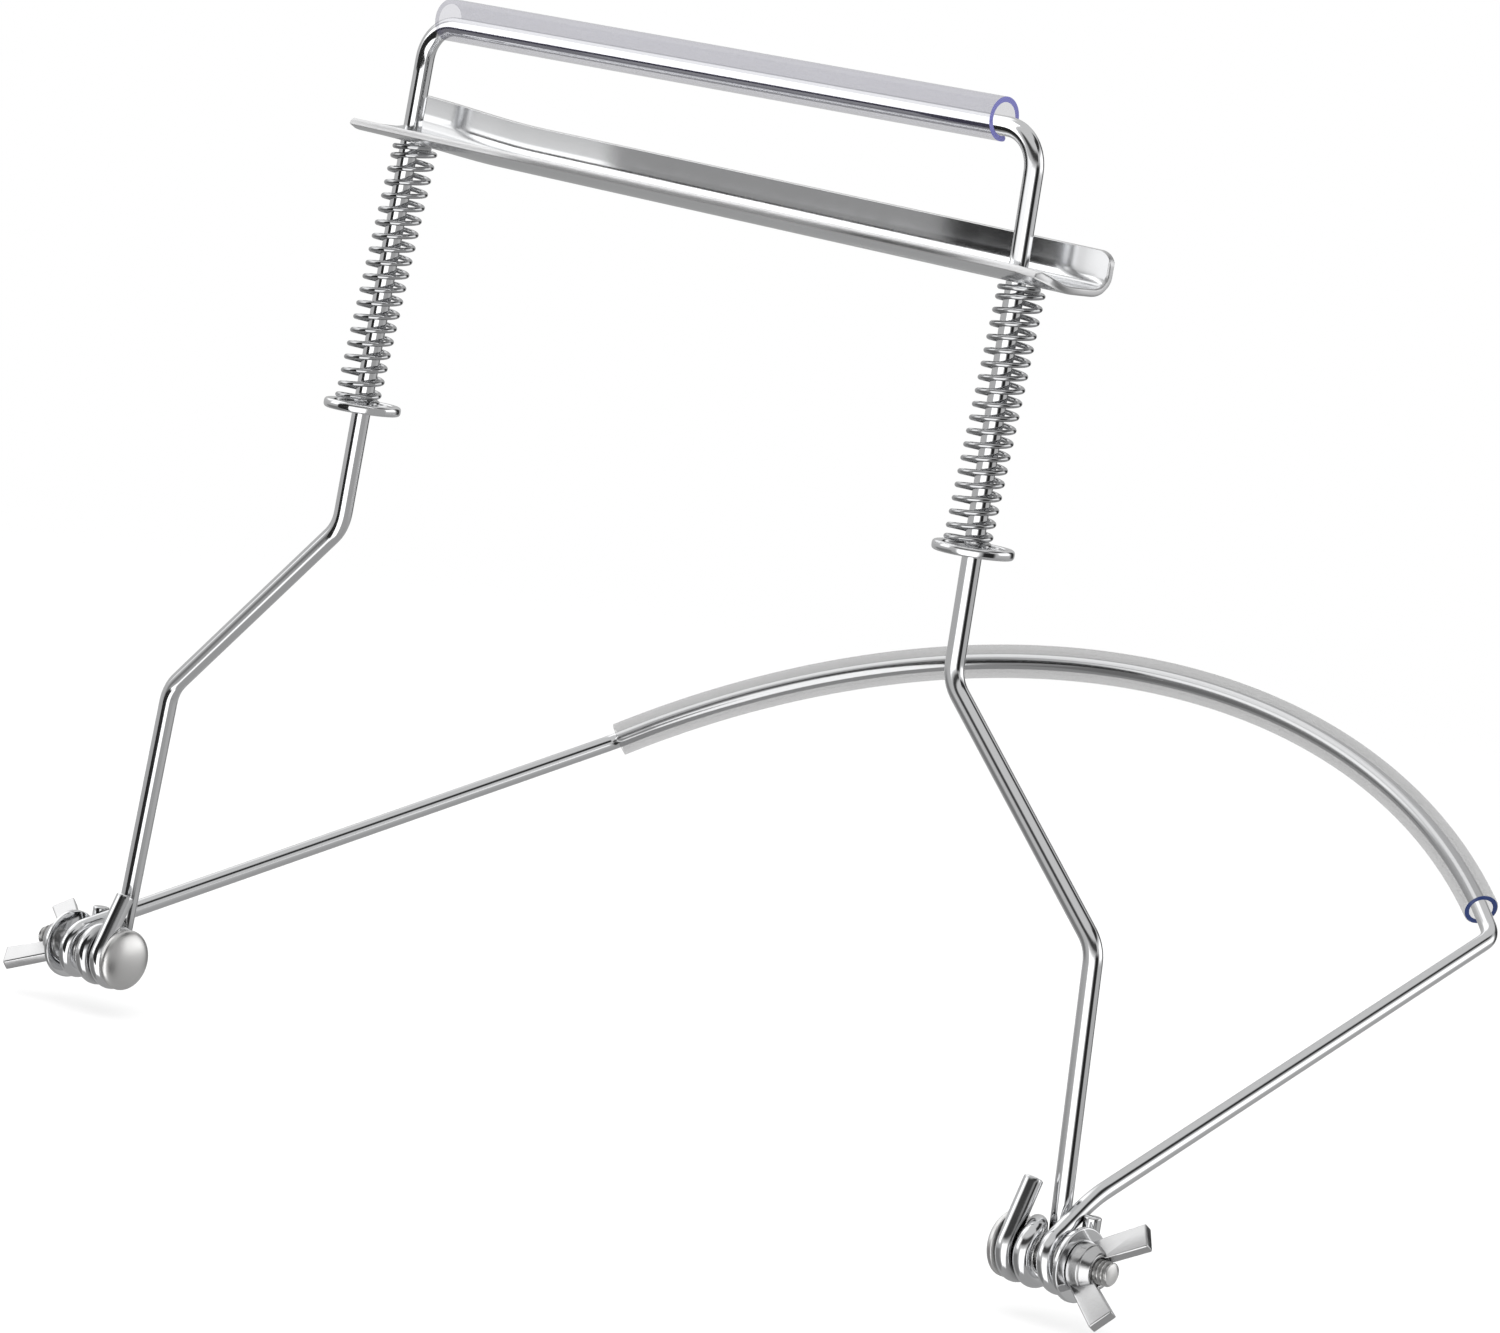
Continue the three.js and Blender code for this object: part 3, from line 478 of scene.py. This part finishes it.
# the wall is one ring of rings: the outer side on the way out and the bore on the way back
tube_outside = carried_section(tube_path, TUBE_DIAMETER / 2, TUBE_SIDES, ends=0.12)
tube_bore = carried_section(tube_path, TUBE_DIAMETER / 2 - TUBE_WALL, TUBE_SIDES)
neck_tube = make_piece(
    "neck_tube_vinyl", [grid_shell(np.concatenate([tube_outside, tube_bore[::-1]]), ring=True)],
    [
        clear_vinyl("neck_tube_vinyl", TUBE_COLOUR, least=0.31, most=0.34),
        cut_vinyl("neck_tube_cut", (0.03, 0.055, 0.19)),
        clear_vinyl("neck_tube_bore", TUBE_COLOUR, least=0.02, most=0.04),
    ],
    sharp=50,
)
# only the cut at the right end, which the light leaves by, gets the painted blue of that light
tube_part = np.full((len(tube_outside) + len(tube_bore), TUBE_SIDES), OUTER, np.int32)
tube_part[len(tube_outside) - 1] = CUT
tube_part[len(tube_outside):-1] = BORE
neck_tube.data.polygons.foreach_set("material_index", tube_part.ravel())
neck_tube.visible_glossy = False  # light reaches the wire inside at full strength
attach(neck_tube, "neck_yoke")
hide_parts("neck_tube")

# ---- Pivot bolts ----
# Steel bolts with a low domed head on the inner side, satin nickel plated, with
# a rolled thread that takes the nut. They run through both wires' eyes.
BOLT_RADIUS = 1.55
HEAD_FACE = 80.65
HEAD_RADIUS = 4.2
HEAD_RIM = 0.4
HEAD_RISE = 1.4
NUT_START = 91.654
BOLT_END = 96.454
THREAD_PITCH = 0.62
THREAD_DEPTH = 0.36
THREAD_LENGTH = 5.2
FLANK_SLOPE, CREST_WIDTH = 1.3, 0.16
CHAMFER_LENGTH, CHAMFER_SLOPE = 0.3, 0.7
SIDES = (("left", -1), ("right", 1))


def soft_corners(profile, reach, steps=4):
    """A profile whose corners turn through quadratic curves, (1 - t)² start + 2t (1 - t) corner + t² end, which start
    `reach` before each corner and end as far after it, or else at 0.45 of a side that is short."""
    profile = np.array(profile, float)
    made = [profile[:1]]
    share = np.linspace(0, 1, steps + 1)[:, None]
    for before, at, after in zip(profile, profile[1:], profile[2:]):
        back, on = before - at, after - at
        start = at + back * min(reach / np.linalg.norm(back), 0.45)
        end = at + on * min(reach / np.linalg.norm(on), 0.45)
        made.append((1 - share) ** 2 * start + 2 * share * (1 - share) * at + share**2 * end)
    return np.concatenate(made + [profile[-1:]])


def turned_shape(profile, side, sides=64):
    """A profile of (radius, distance) turned about the swing axis: (side · distance, radius cos a, radius sin a)."""
    radius, distance = np.array(profile, float).T
    angle = np.linspace(0, 2 * pi, sides, endpoint=False)
    return np.stack([
        np.repeat(side * distance[:, None], sides, 1),
        radius[:, None] * np.cos(angle), radius[:, None] * np.sin(angle),
    ], axis=-1)


def threaded_shape(start, end, side, sides=64):
    """A screw thread: radius = bolt radius - depth · groove, where groove = slope · (1 - |2 frac(distance / pitch -
    side · a / 2π) - 1|) - crest, held between 0 and 1. It fades in over one pitch, and a chamfer ends it."""
    distance = np.linspace(start, end, int((end - start) / THREAD_PITCH * 14))
    angle = np.linspace(0, 2 * pi, sides, endpoint=False)
    phase = (distance[:, None] / THREAD_PITCH - side * angle / (2 * pi)) % 1
    groove = np.clip(FLANK_SLOPE * (1 - np.abs(2 * phase - 1)) - CREST_WIDTH, 0, 1)
    fade = np.clip((distance - start) / THREAD_PITCH, 0, 1)[:, None]
    chamfer = np.clip(distance - (end - CHAMFER_LENGTH), 0, None)[:, None]
    radius = BOLT_RADIUS - THREAD_DEPTH * groove * fade - chamfer * CHAMFER_SLOPE
    return np.stack([
        np.repeat(side * distance[:, None], sides, 1), radius * np.cos(angle), radius * np.sin(angle),
    ], axis=-1)


satin_nickel = metal_finish(
    "satin_nickel", (0.84, 0.835, 0.825), roughness=0.34, wander=0.05, grain=420, relief=0.000006,
)
# the dome is half an ellipse, from just off the axis to the rim
dome_angle = np.linspace(0.004, pi / 2, 20)
dome = np.stack([
    HEAD_RADIUS * np.sin(dome_angle), HEAD_FACE - HEAD_RIM - HEAD_RISE * np.cos(dome_angle),
], axis=1)
head_profile = np.concatenate([
    dome[:-1],
    soft_corners([
        dome[-1], (HEAD_RADIUS, HEAD_FACE - HEAD_RIM / 2), (HEAD_RADIUS, HEAD_FACE), (BOLT_RADIUS, HEAD_FACE),
        (BOLT_RADIUS, BOLT_END - THREAD_LENGTH),
    ], reach=0.22),
])
for name, side in SIDES:
    shank = np.concatenate([
        turned_shape(head_profile[:-1], side), threaded_shape(BOLT_END - THREAD_LENGTH, BOLT_END, side),
    ])
    pivot_bolt = make_piece(f"pivot_bolt_{name}_turned", [grid_shell(shank)], [satin_nickel])
    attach(pivot_bolt, "neck_yoke")
    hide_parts(f"pivot_bolt_{name}")

# ---- Pivot washers ----
# Stamped steel washers, plated, between the yoke's eye and the wing nut. The
# stamping leaves the outer side's edge a little round.
WASHER_START = 90.85
WASHER_THICKNESS = 0.7
WASHER_RADIUS, WASHER_BORE = 4.7, 1.9
washer_profile = soft_corners([
    (WASHER_BORE, WASHER_START + WASHER_THICKNESS / 2), (WASHER_BORE, WASHER_START), (WASHER_RADIUS, WASHER_START),
    (WASHER_RADIUS, WASHER_START + WASHER_THICKNESS), (WASHER_BORE, WASHER_START + WASHER_THICKNESS),
    (WASHER_BORE, WASHER_START + WASHER_THICKNESS / 2),
], reach=0.2)[:-1]
for name, side in SIDES:
    washer_grid = turned_shape(washer_profile, side, sides=72)
    pivot_washer = make_piece(
        f"pivot_washer_{name}_stamped", [grid_shell(washer_grid, ring=True)], [bright_plating],
    )
    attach(pivot_washer, "neck_yoke")
    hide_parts(f"pivot_washer_{name}")

# ---- Front frame ----
# One thicker plated steel wire: a top bar, two uprights that step out at two
# knees, and at each foot an eye of one and a half turns round the bolt that it
# swings on, with a tail that leans back.
FRAME_WIRE = 2.5
FRAME_PLANE = 3.65  # y of the uprights
BAR_HALF_WIDTH = 54.0
BAR_HEIGHT = 133.4
UPPER_KNEE_HEIGHT, LOWER_KNEE_HEIGHT = 64.9, 37.5
LOWER_KNEE_HALF_WIDTH = 82.8
EYE_HALF_WIDTH = 84.9
FRAME_BEND = 5.0
FRAME_EYE_TURNS = 1.5
FRAME_PITCH = 2.85
STEP_START, STEP_END = radians(230), radians(330)
TAIL_LEAN = radians(23)
FRAME_TAIL = 8.0
LEFT_LEAN, LEFT_LEVEL = 0.04, 92.0


def share_of(value, start, end):
    """How far a value has come from start to end: (value - start) / (end - start), held between 0 and 1."""
    return np.clip((value - start) / (end - start), 0, 1)


def eased(share):
    """A share that is made to set off and arrive gently: 3t² - 2t³."""
    return share * share * (3 - 2 * share)


def upright(side, height):
    """The x of an upright: side · half width; the left one leans in by LEFT_LEAN · (height - LEFT_LEVEL)."""
    return side * BAR_HALF_WIDTH + (LEFT_LEAN * (height - LEFT_LEVEL) if side < 0 else 0)


def frame_eye(side):
    """From the eye's back down and round the front: (side · (half width - pitch · ease), radius cos a, -radius sin a),
    where the ease goes from 0 to 1 over the top. It leaves in a straight tail."""
    turned = np.linspace(0, FRAME_EYE_TURNS * 2 * pi + TAIL_LEAN, 150)
    coil = np.stack([
        side * (EYE_HALF_WIDTH - FRAME_PITCH * eased(share_of(turned, STEP_START, STEP_END))),
        EYE_RADIUS * np.cos(turned), -EYE_RADIUS * np.sin(turned),
    ], axis=1)
    return np.concatenate([coil, coil[-1:] + np.array((0, sin(TAIL_LEAN), cos(TAIL_LEAN))) * FRAME_TAIL])


left_leg, right_leg = ([
    (upright(side, BAR_HEIGHT), FRAME_PLANE, BAR_HEIGHT),
    (upright(side, UPPER_KNEE_HEIGHT), FRAME_PLANE, UPPER_KNEE_HEIGHT),
    (side * LOWER_KNEE_HALF_WIDTH, FRAME_PLANE, LOWER_KNEE_HEIGHT),
    (side * EYE_HALF_WIDTH, FRAME_PLANE, 0),
] for side in (-1, 1))
bends = rounded_path(left_leg[::-1] + right_leg, [FRAME_BEND] * 6)[1:-1]
frame_path = np.concatenate([frame_eye(-1)[::-1], bends, frame_eye(1)])
front_frame = make_piece(
    "front_frame_wire", [wire_shell(frame_path, FRAME_WIRE, spacing=0.32, settle=1.4, sides=28, ends=0.25)],
    [bright_plating],
)
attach(front_frame, "front_frame")
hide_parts("front_frame")

# ---- Top bar sleeve ----
# A length of clear vinyl tube, slit along its lower back and snapped over the
# top bar, so it rests on the bar with its slit edges curling under.
SLEEVE_RADIUS = 2.8
SLEEVE_WALL = 0.7
SLEEVE_LEFT, SLEEVE_RIGHT = -49.0, 48.0
SLEEVE_PLAY = 0.04  # between the bar's top and the bore
SLEEVE_COLOUR = (0.1, 0.095, 0.16)
SLIT_MIDDLE, SLIT_ANGLE = radians(-52), radians(54)  # from straight back, turned up
sleeve_bore = SLEEVE_RADIUS - SLEEVE_WALL
sleeve_lift = sleeve_bore - FRAME_WIRE / 2 - SLEEVE_PLAY
sweep = np.linspace(SLIT_MIDDLE + SLIT_ANGLE / 2, SLIT_MIDDLE - SLIT_ANGLE / 2 + 2 * pi, 48)
lip = np.linspace(0, pi, 9)[1:-1]
wall_middle = (SLEEVE_RADIUS + sleeve_bore) / 2


def sleeve_lips(angle, way):
    """A rounded edge of the slit at `angle`: wall's middle + way · half the wall · (cos t · radial + sin t · around).
    It runs from outside to inside where `way` is 1, and back where it is -1."""
    radial, around_wall = np.array((cos(angle), sin(angle))), np.array((-sin(angle), cos(angle)))
    half_wall = way * SLEEVE_WALL / 2
    return [radial * (wall_middle + half_wall * cos(t)) + around_wall * half_wall * sin(t) for t in lip]


outer_line = SLEEVE_RADIUS * np.stack([np.cos(sweep), np.sin(sweep)], axis=1)
inner_line = sleeve_bore * np.stack([np.cos(sweep[::-1]), np.sin(sweep[::-1])], axis=1)
section = np.concatenate([outer_line, sleeve_lips(sweep[-1], 1), inner_line, sleeve_lips(sweep[0], -1)])
stations = np.linspace(SLEEVE_LEFT, SLEEVE_RIGHT, 60)
sleeve_grid = np.stack([
    np.repeat(stations[:, None], len(section), 1),
    FRAME_PLANE + np.repeat(section[None, :, 0], len(stations), 0),
    BAR_HEIGHT + sleeve_lift + np.repeat(section[None, :, 1], len(stations), 0),
], axis=-1)
top_bar_sleeve = make_piece(
    "top_bar_sleeve_vinyl", [grid_shell(sleeve_grid)],
    [
        clear_vinyl("top_bar_sleeve_vinyl", SLEEVE_COLOUR, least=0.31, most=0.36),
        cut_vinyl("top_bar_sleeve_cut", (0.2, 0.2, 0.52)),
        clear_vinyl("top_bar_sleeve_bore", SLEEVE_COLOUR, least=0.02, most=0.04),
    ],
)
# the last two faces are the ends, of which only the right one gets the painted blue of the light leaving the wall, as
# on the neck tube
sleeve_part = np.full((len(stations) - 1, len(section)), OUTER, np.int32)
sleeve_part[:, len(outer_line) + len(lip):-len(lip) - 1] = BORE
top_bar_sleeve.data.polygons.foreach_set("material_index", np.append(sleeve_part, (OUTER, CUT)).astype(np.int32))
top_bar_sleeve.visible_glossy = False  # light reaches the bar inside at full strength
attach(top_bar_sleeve, "front_frame")
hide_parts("top_bar_sleeve")

# ---- Spring seats ----
# Plated steel washers with a rolled rim, fixed on the uprights: the springs
# stand on them.
SEAT_HEIGHT = 80.7
SEAT_RADIUS = 5.2
SEAT_RIM = 1.3
SEAT_ROLL_TOP, SEAT_ROLL_FOOT = 1.1, 1.2  # the rolled rim's width at its top and at its foot
SEAT_FLOOR = 0.72
SEAT_BORE = 1.3


def standing_turned_shape(profile, x, y, sides=72):
    """A profile of (radius, height) turned about an upright axis: (x + radius cos a, y + radius sin a, height)."""
    radius, height = np.array(profile, float).T
    angle = np.linspace(0, 2 * pi, sides, endpoint=False)
    return np.stack([
        x + radius[:, None] * np.cos(angle), y + radius[:, None] * np.sin(angle),
        np.repeat(height[:, None], sides, 1),
    ], axis=-1)


seat_profile = soft_corners([
    (SEAT_BORE, SEAT_HEIGHT + SEAT_FLOOR / 2), (SEAT_BORE, SEAT_HEIGHT), (SEAT_RADIUS, SEAT_HEIGHT),
    (SEAT_RADIUS, SEAT_HEIGHT + SEAT_RIM), (SEAT_RADIUS - SEAT_ROLL_TOP, SEAT_HEIGHT + SEAT_RIM),
    (SEAT_RADIUS - SEAT_ROLL_FOOT, SEAT_HEIGHT + SEAT_FLOOR), (SEAT_BORE, SEAT_HEIGHT + SEAT_FLOOR),
    (SEAT_BORE, SEAT_HEIGHT + SEAT_FLOOR / 2),
], reach=0.55, steps=6)[:-1]
for name, side in SIDES:
    seat_grid = standing_turned_shape(seat_profile, upright(side, SEAT_HEIGHT), FRAME_PLANE)
    spring_seat = make_piece(f"spring_seat_{name}_rolled", [grid_shell(seat_grid, ring=True)], [bright_plating])
    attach(spring_seat, "front_frame")
    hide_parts(f"spring_seat_{name}")

# ---- Springs ----
# Compression springs of bright plated wire, one close turn at each end, that
# push the plate up from the seats. They fit the uprights loosely and lean.
SPRING_RADIUS = 2.75
SPRING_WIRE = 0.7
SPRING_TURNS = 20
SPRING_BOTTOM, LEFT_SPRING_TOP, RIGHT_SPRING_TOP = 81.95, 116.9, 114.35
CLOSE_PITCH = 0.95
SPRING_LEAN = np.array((0.7, 0.5))  # how far a spring's top stands to the right and back, and its foot the other way
# painted shade: a darker copy of the bright plating, so the coils look darker as a whole, with painted crevice shade
# reaching 4 mm between the spring's own turns
spring_plating = metal_finish(
    "spring_plating", (0.6, 0.605, 0.615), roughness=0.07, wander=0.02, grain=500, relief=0, crevice=0.004,
)
turn = np.linspace(0, SPRING_TURNS, SPRING_TURNS * 30 + 1)
for name, side, spring_top in (("left", -1, LEFT_SPRING_TOP), ("right", 1, RIGHT_SPRING_TOP)):
    rise = spring_top - SPRING_BOTTOM
    height = np.interp(turn, (0, 1, SPRING_TURNS - 1, SPRING_TURNS), (0, CLOSE_PITCH, rise - CLOSE_PITCH, rise))
    lean = SPRING_LEAN * (2 * height[:, None] / rise - 1)
    helix = np.stack([
        upright(side, SPRING_BOTTOM + height) + SPRING_RADIUS * np.cos(2 * pi * turn) + lean[:, 0],
        FRAME_PLANE + SPRING_RADIUS * np.sin(2 * pi * turn) + lean[:, 1], SPRING_BOTTOM + height,
    ], axis=1)
    spring = make_piece(
        f"spring_{name}_wound", [wire_shell(helix, SPRING_WIRE, spacing=0.42, settle=1.3, sides=12, ends=0.08)],
        [spring_plating],
    )
    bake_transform(spring)
    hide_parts(f"spring_{name}")

# ---- Clamp plate ----
# A strip of plated sheet steel, folded to a shallow channel with a low front
# lip and a taller back wall, and punched with two holes that slide on the
# uprights. It stands on the springs.
SHEET = 1.0
SHEET_ROUNDING, ROUNDING_STEPS = 0.28, 7  # of the sheet's end edges
ON_EDGE = 0.3  # how far its long edges bulge, as a share of half its thickness
PLATE_HEIGHT = 115.3
PLATE_TILT, PLATE_LEVEL = 0.018, 28.0  # it stands a little askew on its springs, and level with its height at this x
PLATE_LEFT, PLATE_RIGHT = 59.3, 64.6
LEFT_SLANT = 1.6
RIGHT_ROUNDING, RIGHT_STRAIGHT = 3.3, 1.2
FLOOR_FRONT, FLOOR_BACK = 2.3, 2.7
LIP_DEPTH, LIP_RISE = 5.2, 1.5
WALL_DEPTH, WALL_RISE = 5.0, 5.6
WALL_CORNER = 2.0
TAB_START = 58.0
RIGHT_LIP_DROP, DIP_START = 0.2, 56.0
LEFT_TAPER, LEFT_TAPER_START = 1.1, 34.0
LEFT_HOLE_RADIUS, RIGHT_HOLE_RADIUS = 2.0, 1.65
PUNCH_UNDER, PUNCH_OVER = 2, 6

# the middle of the sheet, back and up from the uprights' plane: the lip, the floor, and the curve into the wall
wall_run = WALL_DEPTH - FLOOR_BACK
fold = soft_corners([
    (-LIP_DEPTH, LIP_RISE), ((-LIP_DEPTH - FLOOR_FRONT) / 2, LIP_RISE * 0.42), (-FLOOR_FRONT, 0), (0, 0),
    (FLOOR_BACK, 0), (FLOOR_BACK + wall_run * 0.6, WALL_RISE * 0.1), (FLOOR_BACK + wall_run * 0.98, WALL_RISE * 0.36),
    (WALL_DEPTH, WALL_RISE - SHEET / 2),
], reach=0.9, steps=6)
along_fold = np.gradient(fold, axis=0)
along_fold /= np.linalg.norm(along_fold, axis=1)[:, None]
off_fold = np.stack([-along_fold[:, 1], along_fold[:, 0]], axis=1)
half_turn = np.linspace(0, pi, 9)[1:-1, None]


def sheet_section(half):
    """The folded line given thickness: line + half · normal on the way to the wall, half an ellipse over the wall's
    edge, line - half · normal on the way back, and half an ellipse over the lip's edge."""
    over = half * np.cos(half_turn), ON_EDGE * half * np.sin(half_turn)
    wall_edge = fold[-1] + over[0] * off_fold[-1] + over[1] * along_fold[-1]
    lip_edge = fold[0] - over[0] * off_fold[0] - over[1] * along_fold[0]
    return np.concatenate([fold + half * off_fold, wall_edge, (fold - half * off_fold)[::-1], lip_edge])


# the stations along the plate lie closest where its ends are shaped, and both ends are rounded by a quarter circle
quarter = np.linspace(0, pi / 2, ROUNDING_STEPS)
reach_in = SHEET_ROUNDING * (1 - np.cos(quarter))
stations = np.concatenate([
    -PLATE_LEFT + reach_in, np.linspace(-PLATE_LEFT + 0.5, -PLATE_LEFT + 4, 16),
    np.linspace(-PLATE_LEFT + 5, PLATE_RIGHT - 13, 60), np.linspace(PLATE_RIGHT - 12, PLATE_RIGHT - 0.5, 34),
    PLATE_RIGHT - reach_in[::-1],
])
halves = np.full(len(stations), SHEET / 2)
halves[:ROUNDING_STEPS] = SHEET / 2 - SHEET_ROUNDING * (1 - np.sin(quarter))
halves[-ROUNDING_STEPS:] = halves[:ROUNDING_STEPS][::-1]
plate = np.stack([
    np.concatenate([np.full((len(sheet_section(h)), 1), x), sheet_section(h)], axis=1) for x, h in zip(stations, halves)
])
x, y, z = plate[..., 0], plate[..., 1], plate[..., 2] + SHEET / 2
reach = np.where(x > 0, PLATE_RIGHT, PLATE_LEFT)
outward = share_of(np.abs(x), TAB_START, reach)
dip = eased(share_of(x, DIP_START, PLATE_RIGHT))
front = eased(share_of(-y, FLOOR_FRONT - SHEET, LIP_DEPTH))
taper = eased(share_of(-x, LEFT_TAPER_START, PLATE_LEFT))
# the wall's top follows a quarter circle at each end, and only its upper part gives way
short_of_end = np.clip(WALL_CORNER - (reach - np.abs(x)), 0, WALL_CORNER)
wall_loss = WALL_CORNER - np.sqrt(np.clip(WALL_CORNER**2 - short_of_end**2, 0, None))
wall_share = share_of(z, SHEET, WALL_RISE + SHEET / 2) * (y > FLOOR_BACK)
# the lip dips at the right end, the floor and wall rise to meet its edge at the left one, and all of it stands askew
z = z - RIGHT_LIP_DROP * front * dip - wall_loss * wall_share
z += LEFT_TAPER * taper * (1 - front) + PLATE_TILT * (PLATE_LEVEL - x)
# the right end follows a quarter ellipse towards the lip: it runs in by rounding · (1 - √(1 - forward²))
forward = share_of(-y, -RIGHT_STRAIGHT, LIP_DEPTH)
slant = LEFT_SLANT * share_of(y, -LIP_DEPTH, WALL_DEPTH)
x = x - np.sign(x) * outward * np.where(x > 0, RIGHT_ROUNDING * (1 - np.sqrt(1 - forward**2)), slant)
plate = np.stack([x, y + FRAME_PLANE, z + PLATE_HEIGHT], axis=-1)
sheet_plating = metal_finish(
    "sheet_plating", (0.84, 0.845, 0.855), roughness=0.17, wander=0.03, grain=180, relief=0.000002,
)
sheared_edge = metal_finish(
    "sheared_edge", (0.74, 0.74, 0.745), roughness=0.42, wander=0.04, grain=300, relief=0.000004,
)
# each end cap joins the two sides of the sheet point by point; a section's points run from the lip's edge at 0 to the
# wall's edge after `wall_end`, and down the other side to the lip's edge after `lip_end`
points, faces = grid_shell(plate, capped=False)
around_count = plate.shape[1]
wall_end = len(fold) - 1
lip_end = 2 * wall_end + len(half_turn) + 1
strip = [(i, i + 1, lip_end - i - 1, lip_end - i) for i in range(wall_end)]
strip += [tuple(range(wall_end, wall_end + len(half_turn) + 2)), (*range(lip_end, around_count), 0)]
for first in (0, len(points) - around_count):
    faces += [[first + i for i in face] for face in strip]
clamp_plate = make_piece("clamp_plate_folded", [(points, faces)], [sheet_plating, sheared_edge], sharp=32)
# the sheared material, the second one, is on both long edges, the rounded ends and the end caps
edge_part = np.zeros((len(stations) - 1, around_count), np.int32)
edge_part[:, wall_end:wall_end + len(half_turn) + 1] = edge_part[:, lip_end:] = 1
edge_part[:ROUNDING_STEPS - 1] = edge_part[1 - ROUNDING_STEPS:] = 1
clamp_plate.data.polygons.foreach_set(
    "material_index", np.append(edge_part, np.ones(2 * len(strip))).astype(np.int32),
)


def face_outward(piece, bevel=0.0):
    """Turns all of a piece's faces outward, and then bevels all of its edges by `bevel` metres."""
    shape = bmesh.new()
    shape.from_mesh(piece.data)
    bmesh.ops.recalc_face_normals(shape, faces=shape.faces)
    if bevel:
        bmesh.ops.bevel(
            shape, geom=shape.edges[:], offset=bevel, segments=3, profile=0.6, affect="EDGES", clamp_overlap=True,
        )
    shape.to_mesh(piece.data)
    shape.free()


def cut_away(piece, tool, operation="DIFFERENCE", sharp=32):
    """Cuts the tool out of the piece, or joins it, and keeps the result as the piece's own mesh."""
    change = piece.modifiers.new("change", "BOOLEAN")
    change.operation = operation
    change.solver = "EXACT"
    change.object = tool
    bpy.context.view_layer.update()
    ready = bpy.data.meshes.new_from_object(piece.evaluated_get(bpy.context.evaluated_depsgraph_get()))
    piece.modifiers.clear()
    piece.data = ready
    bpy.data.objects.remove(tool)
    ready.shade_smooth()
    ready.set_sharp_from_angle(angle=radians(sharp))


face_outward(clamp_plate)
for side, hole in (-1, LEFT_HOLE_RADIUS), (1, RIGHT_HOLE_RADIUS):
    punch = standing_turned_shape(
        [(hole, PLATE_HEIGHT - PUNCH_UNDER), (hole, PLATE_HEIGHT + PUNCH_OVER)],
        upright(side, PLATE_HEIGHT), FRAME_PLANE, sides=48,
    )
    cut_away(clamp_plate, make_piece("punch", [grid_shell(punch)], []))
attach(clamp_plate, "clamp_plate")
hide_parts("clamp_plate")

# ---- Wing nuts ----
# Cast nuts with two flat square-ended wings, dull plated, screwed on the bolts.
# The hub is two cones with a fine line between them.
HUB_FOOT, HUB_WAIST, HUB_TOP = 3.2, 2.92, 2.35  # radii
WAIST_HEIGHT, HUB_HEIGHT = 1.6, 2.95
HUB_LINE, HUB_EDGE = 0.12, 0.15
NUT_BORE = 1.75
DRILL_UNDER, DRILL_OVER = 1, 9
WING_TIP = np.array((6.0, 6.9))  # radius and height
WING_ROOT = np.array((1.9, 0.9))
WING_TIP_HALF, WING_ROOT_HALF = 1.65, 1.45
WING_THICKNESS = 1.5
WING_BEVEL = 0.00024  # metres
LEFT_WING_ANGLE, RIGHT_WING_ANGLE = radians(38), radians(58)  # up from straight back
cast_nickel = metal_finish(
    "cast_nickel", (0.7, 0.7, 0.705), roughness=0.2, wander=0.05, grain=330, relief=0.000006,
)
hub_profile = soft_corners([
    (NUT_BORE, 0.5), (NUT_BORE, 0.0), (HUB_FOOT, 0.0), (HUB_FOOT - 0.04, 0.35),
    (HUB_WAIST + 0.05, WAIST_HEIGHT - HUB_LINE), (HUB_WAIST - HUB_LINE, WAIST_HEIGHT),
    (HUB_WAIST - 0.02, WAIST_HEIGHT + HUB_LINE), (HUB_TOP, HUB_HEIGHT - HUB_EDGE),
    (HUB_TOP - HUB_EDGE, HUB_HEIGHT), (NUT_BORE, HUB_HEIGHT), (NUT_BORE, 0.5),
], reach=0.12, steps=3)[:-1] + (0, NUT_START)


def wing_bar(side, lean, way):
    """A flat bar from root to tip in the plane through the swing axis at the angle `lean`, with its edges bevelled:
    side · height along the axis + radius · out + half the thickness · across the plane."""
    run = (WING_TIP - WING_ROOT) / np.linalg.norm(WING_TIP - WING_ROOT)
    square = np.array((-run[1], run[0]))
    outline = [
        WING_ROOT + square * WING_ROOT_HALF, WING_ROOT - square * WING_ROOT_HALF,
        WING_TIP - square * WING_TIP_HALF, WING_TIP + square * WING_TIP_HALF,
    ]
    out, flat = np.array((0, cos(lean), sin(lean))) * way, np.array((0, -sin(lean), cos(lean)))
    corners = [
        np.array((side * (NUT_START + h), 0, 0)) + out * r + flat * t
        for t in (-WING_THICKNESS / 2, WING_THICKNESS / 2) for r, h in outline
    ]
    faces = [[3, 2, 1, 0], [4, 5, 6, 7]] + [[i, (i + 1) % 4, (i + 1) % 4 + 4, i + 4] for i in range(4)]
    piece = make_piece("wing", [(np.array(corners), faces)], [cast_nickel])
    face_outward(piece, WING_BEVEL)
    return piece


for name, side, lean in (("left", -1, LEFT_WING_ANGLE), ("right", 1, RIGHT_WING_ANGLE)):
    hub_grid = turned_shape(hub_profile, side)
    wing_nut = make_piece(f"wing_nut_{name}_cast", [grid_shell(hub_grid, ring=True)], [cast_nickel])
    drill = turned_shape([(NUT_BORE, NUT_START - DRILL_UNDER), (NUT_BORE, NUT_START + DRILL_OVER)], side)
    wings = wing_bar(side, lean, 1)
    cut_away(wings, wing_bar(side, lean, -1), "UNION")
    cut_away(wings, make_piece("drill", [grid_shell(drill)], []))
    cut_away(wing_nut, wings, "UNION", sharp=40)
    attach(wing_nut, f"wing_nut_{name}")
    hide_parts(f"wing_nut_{name}")
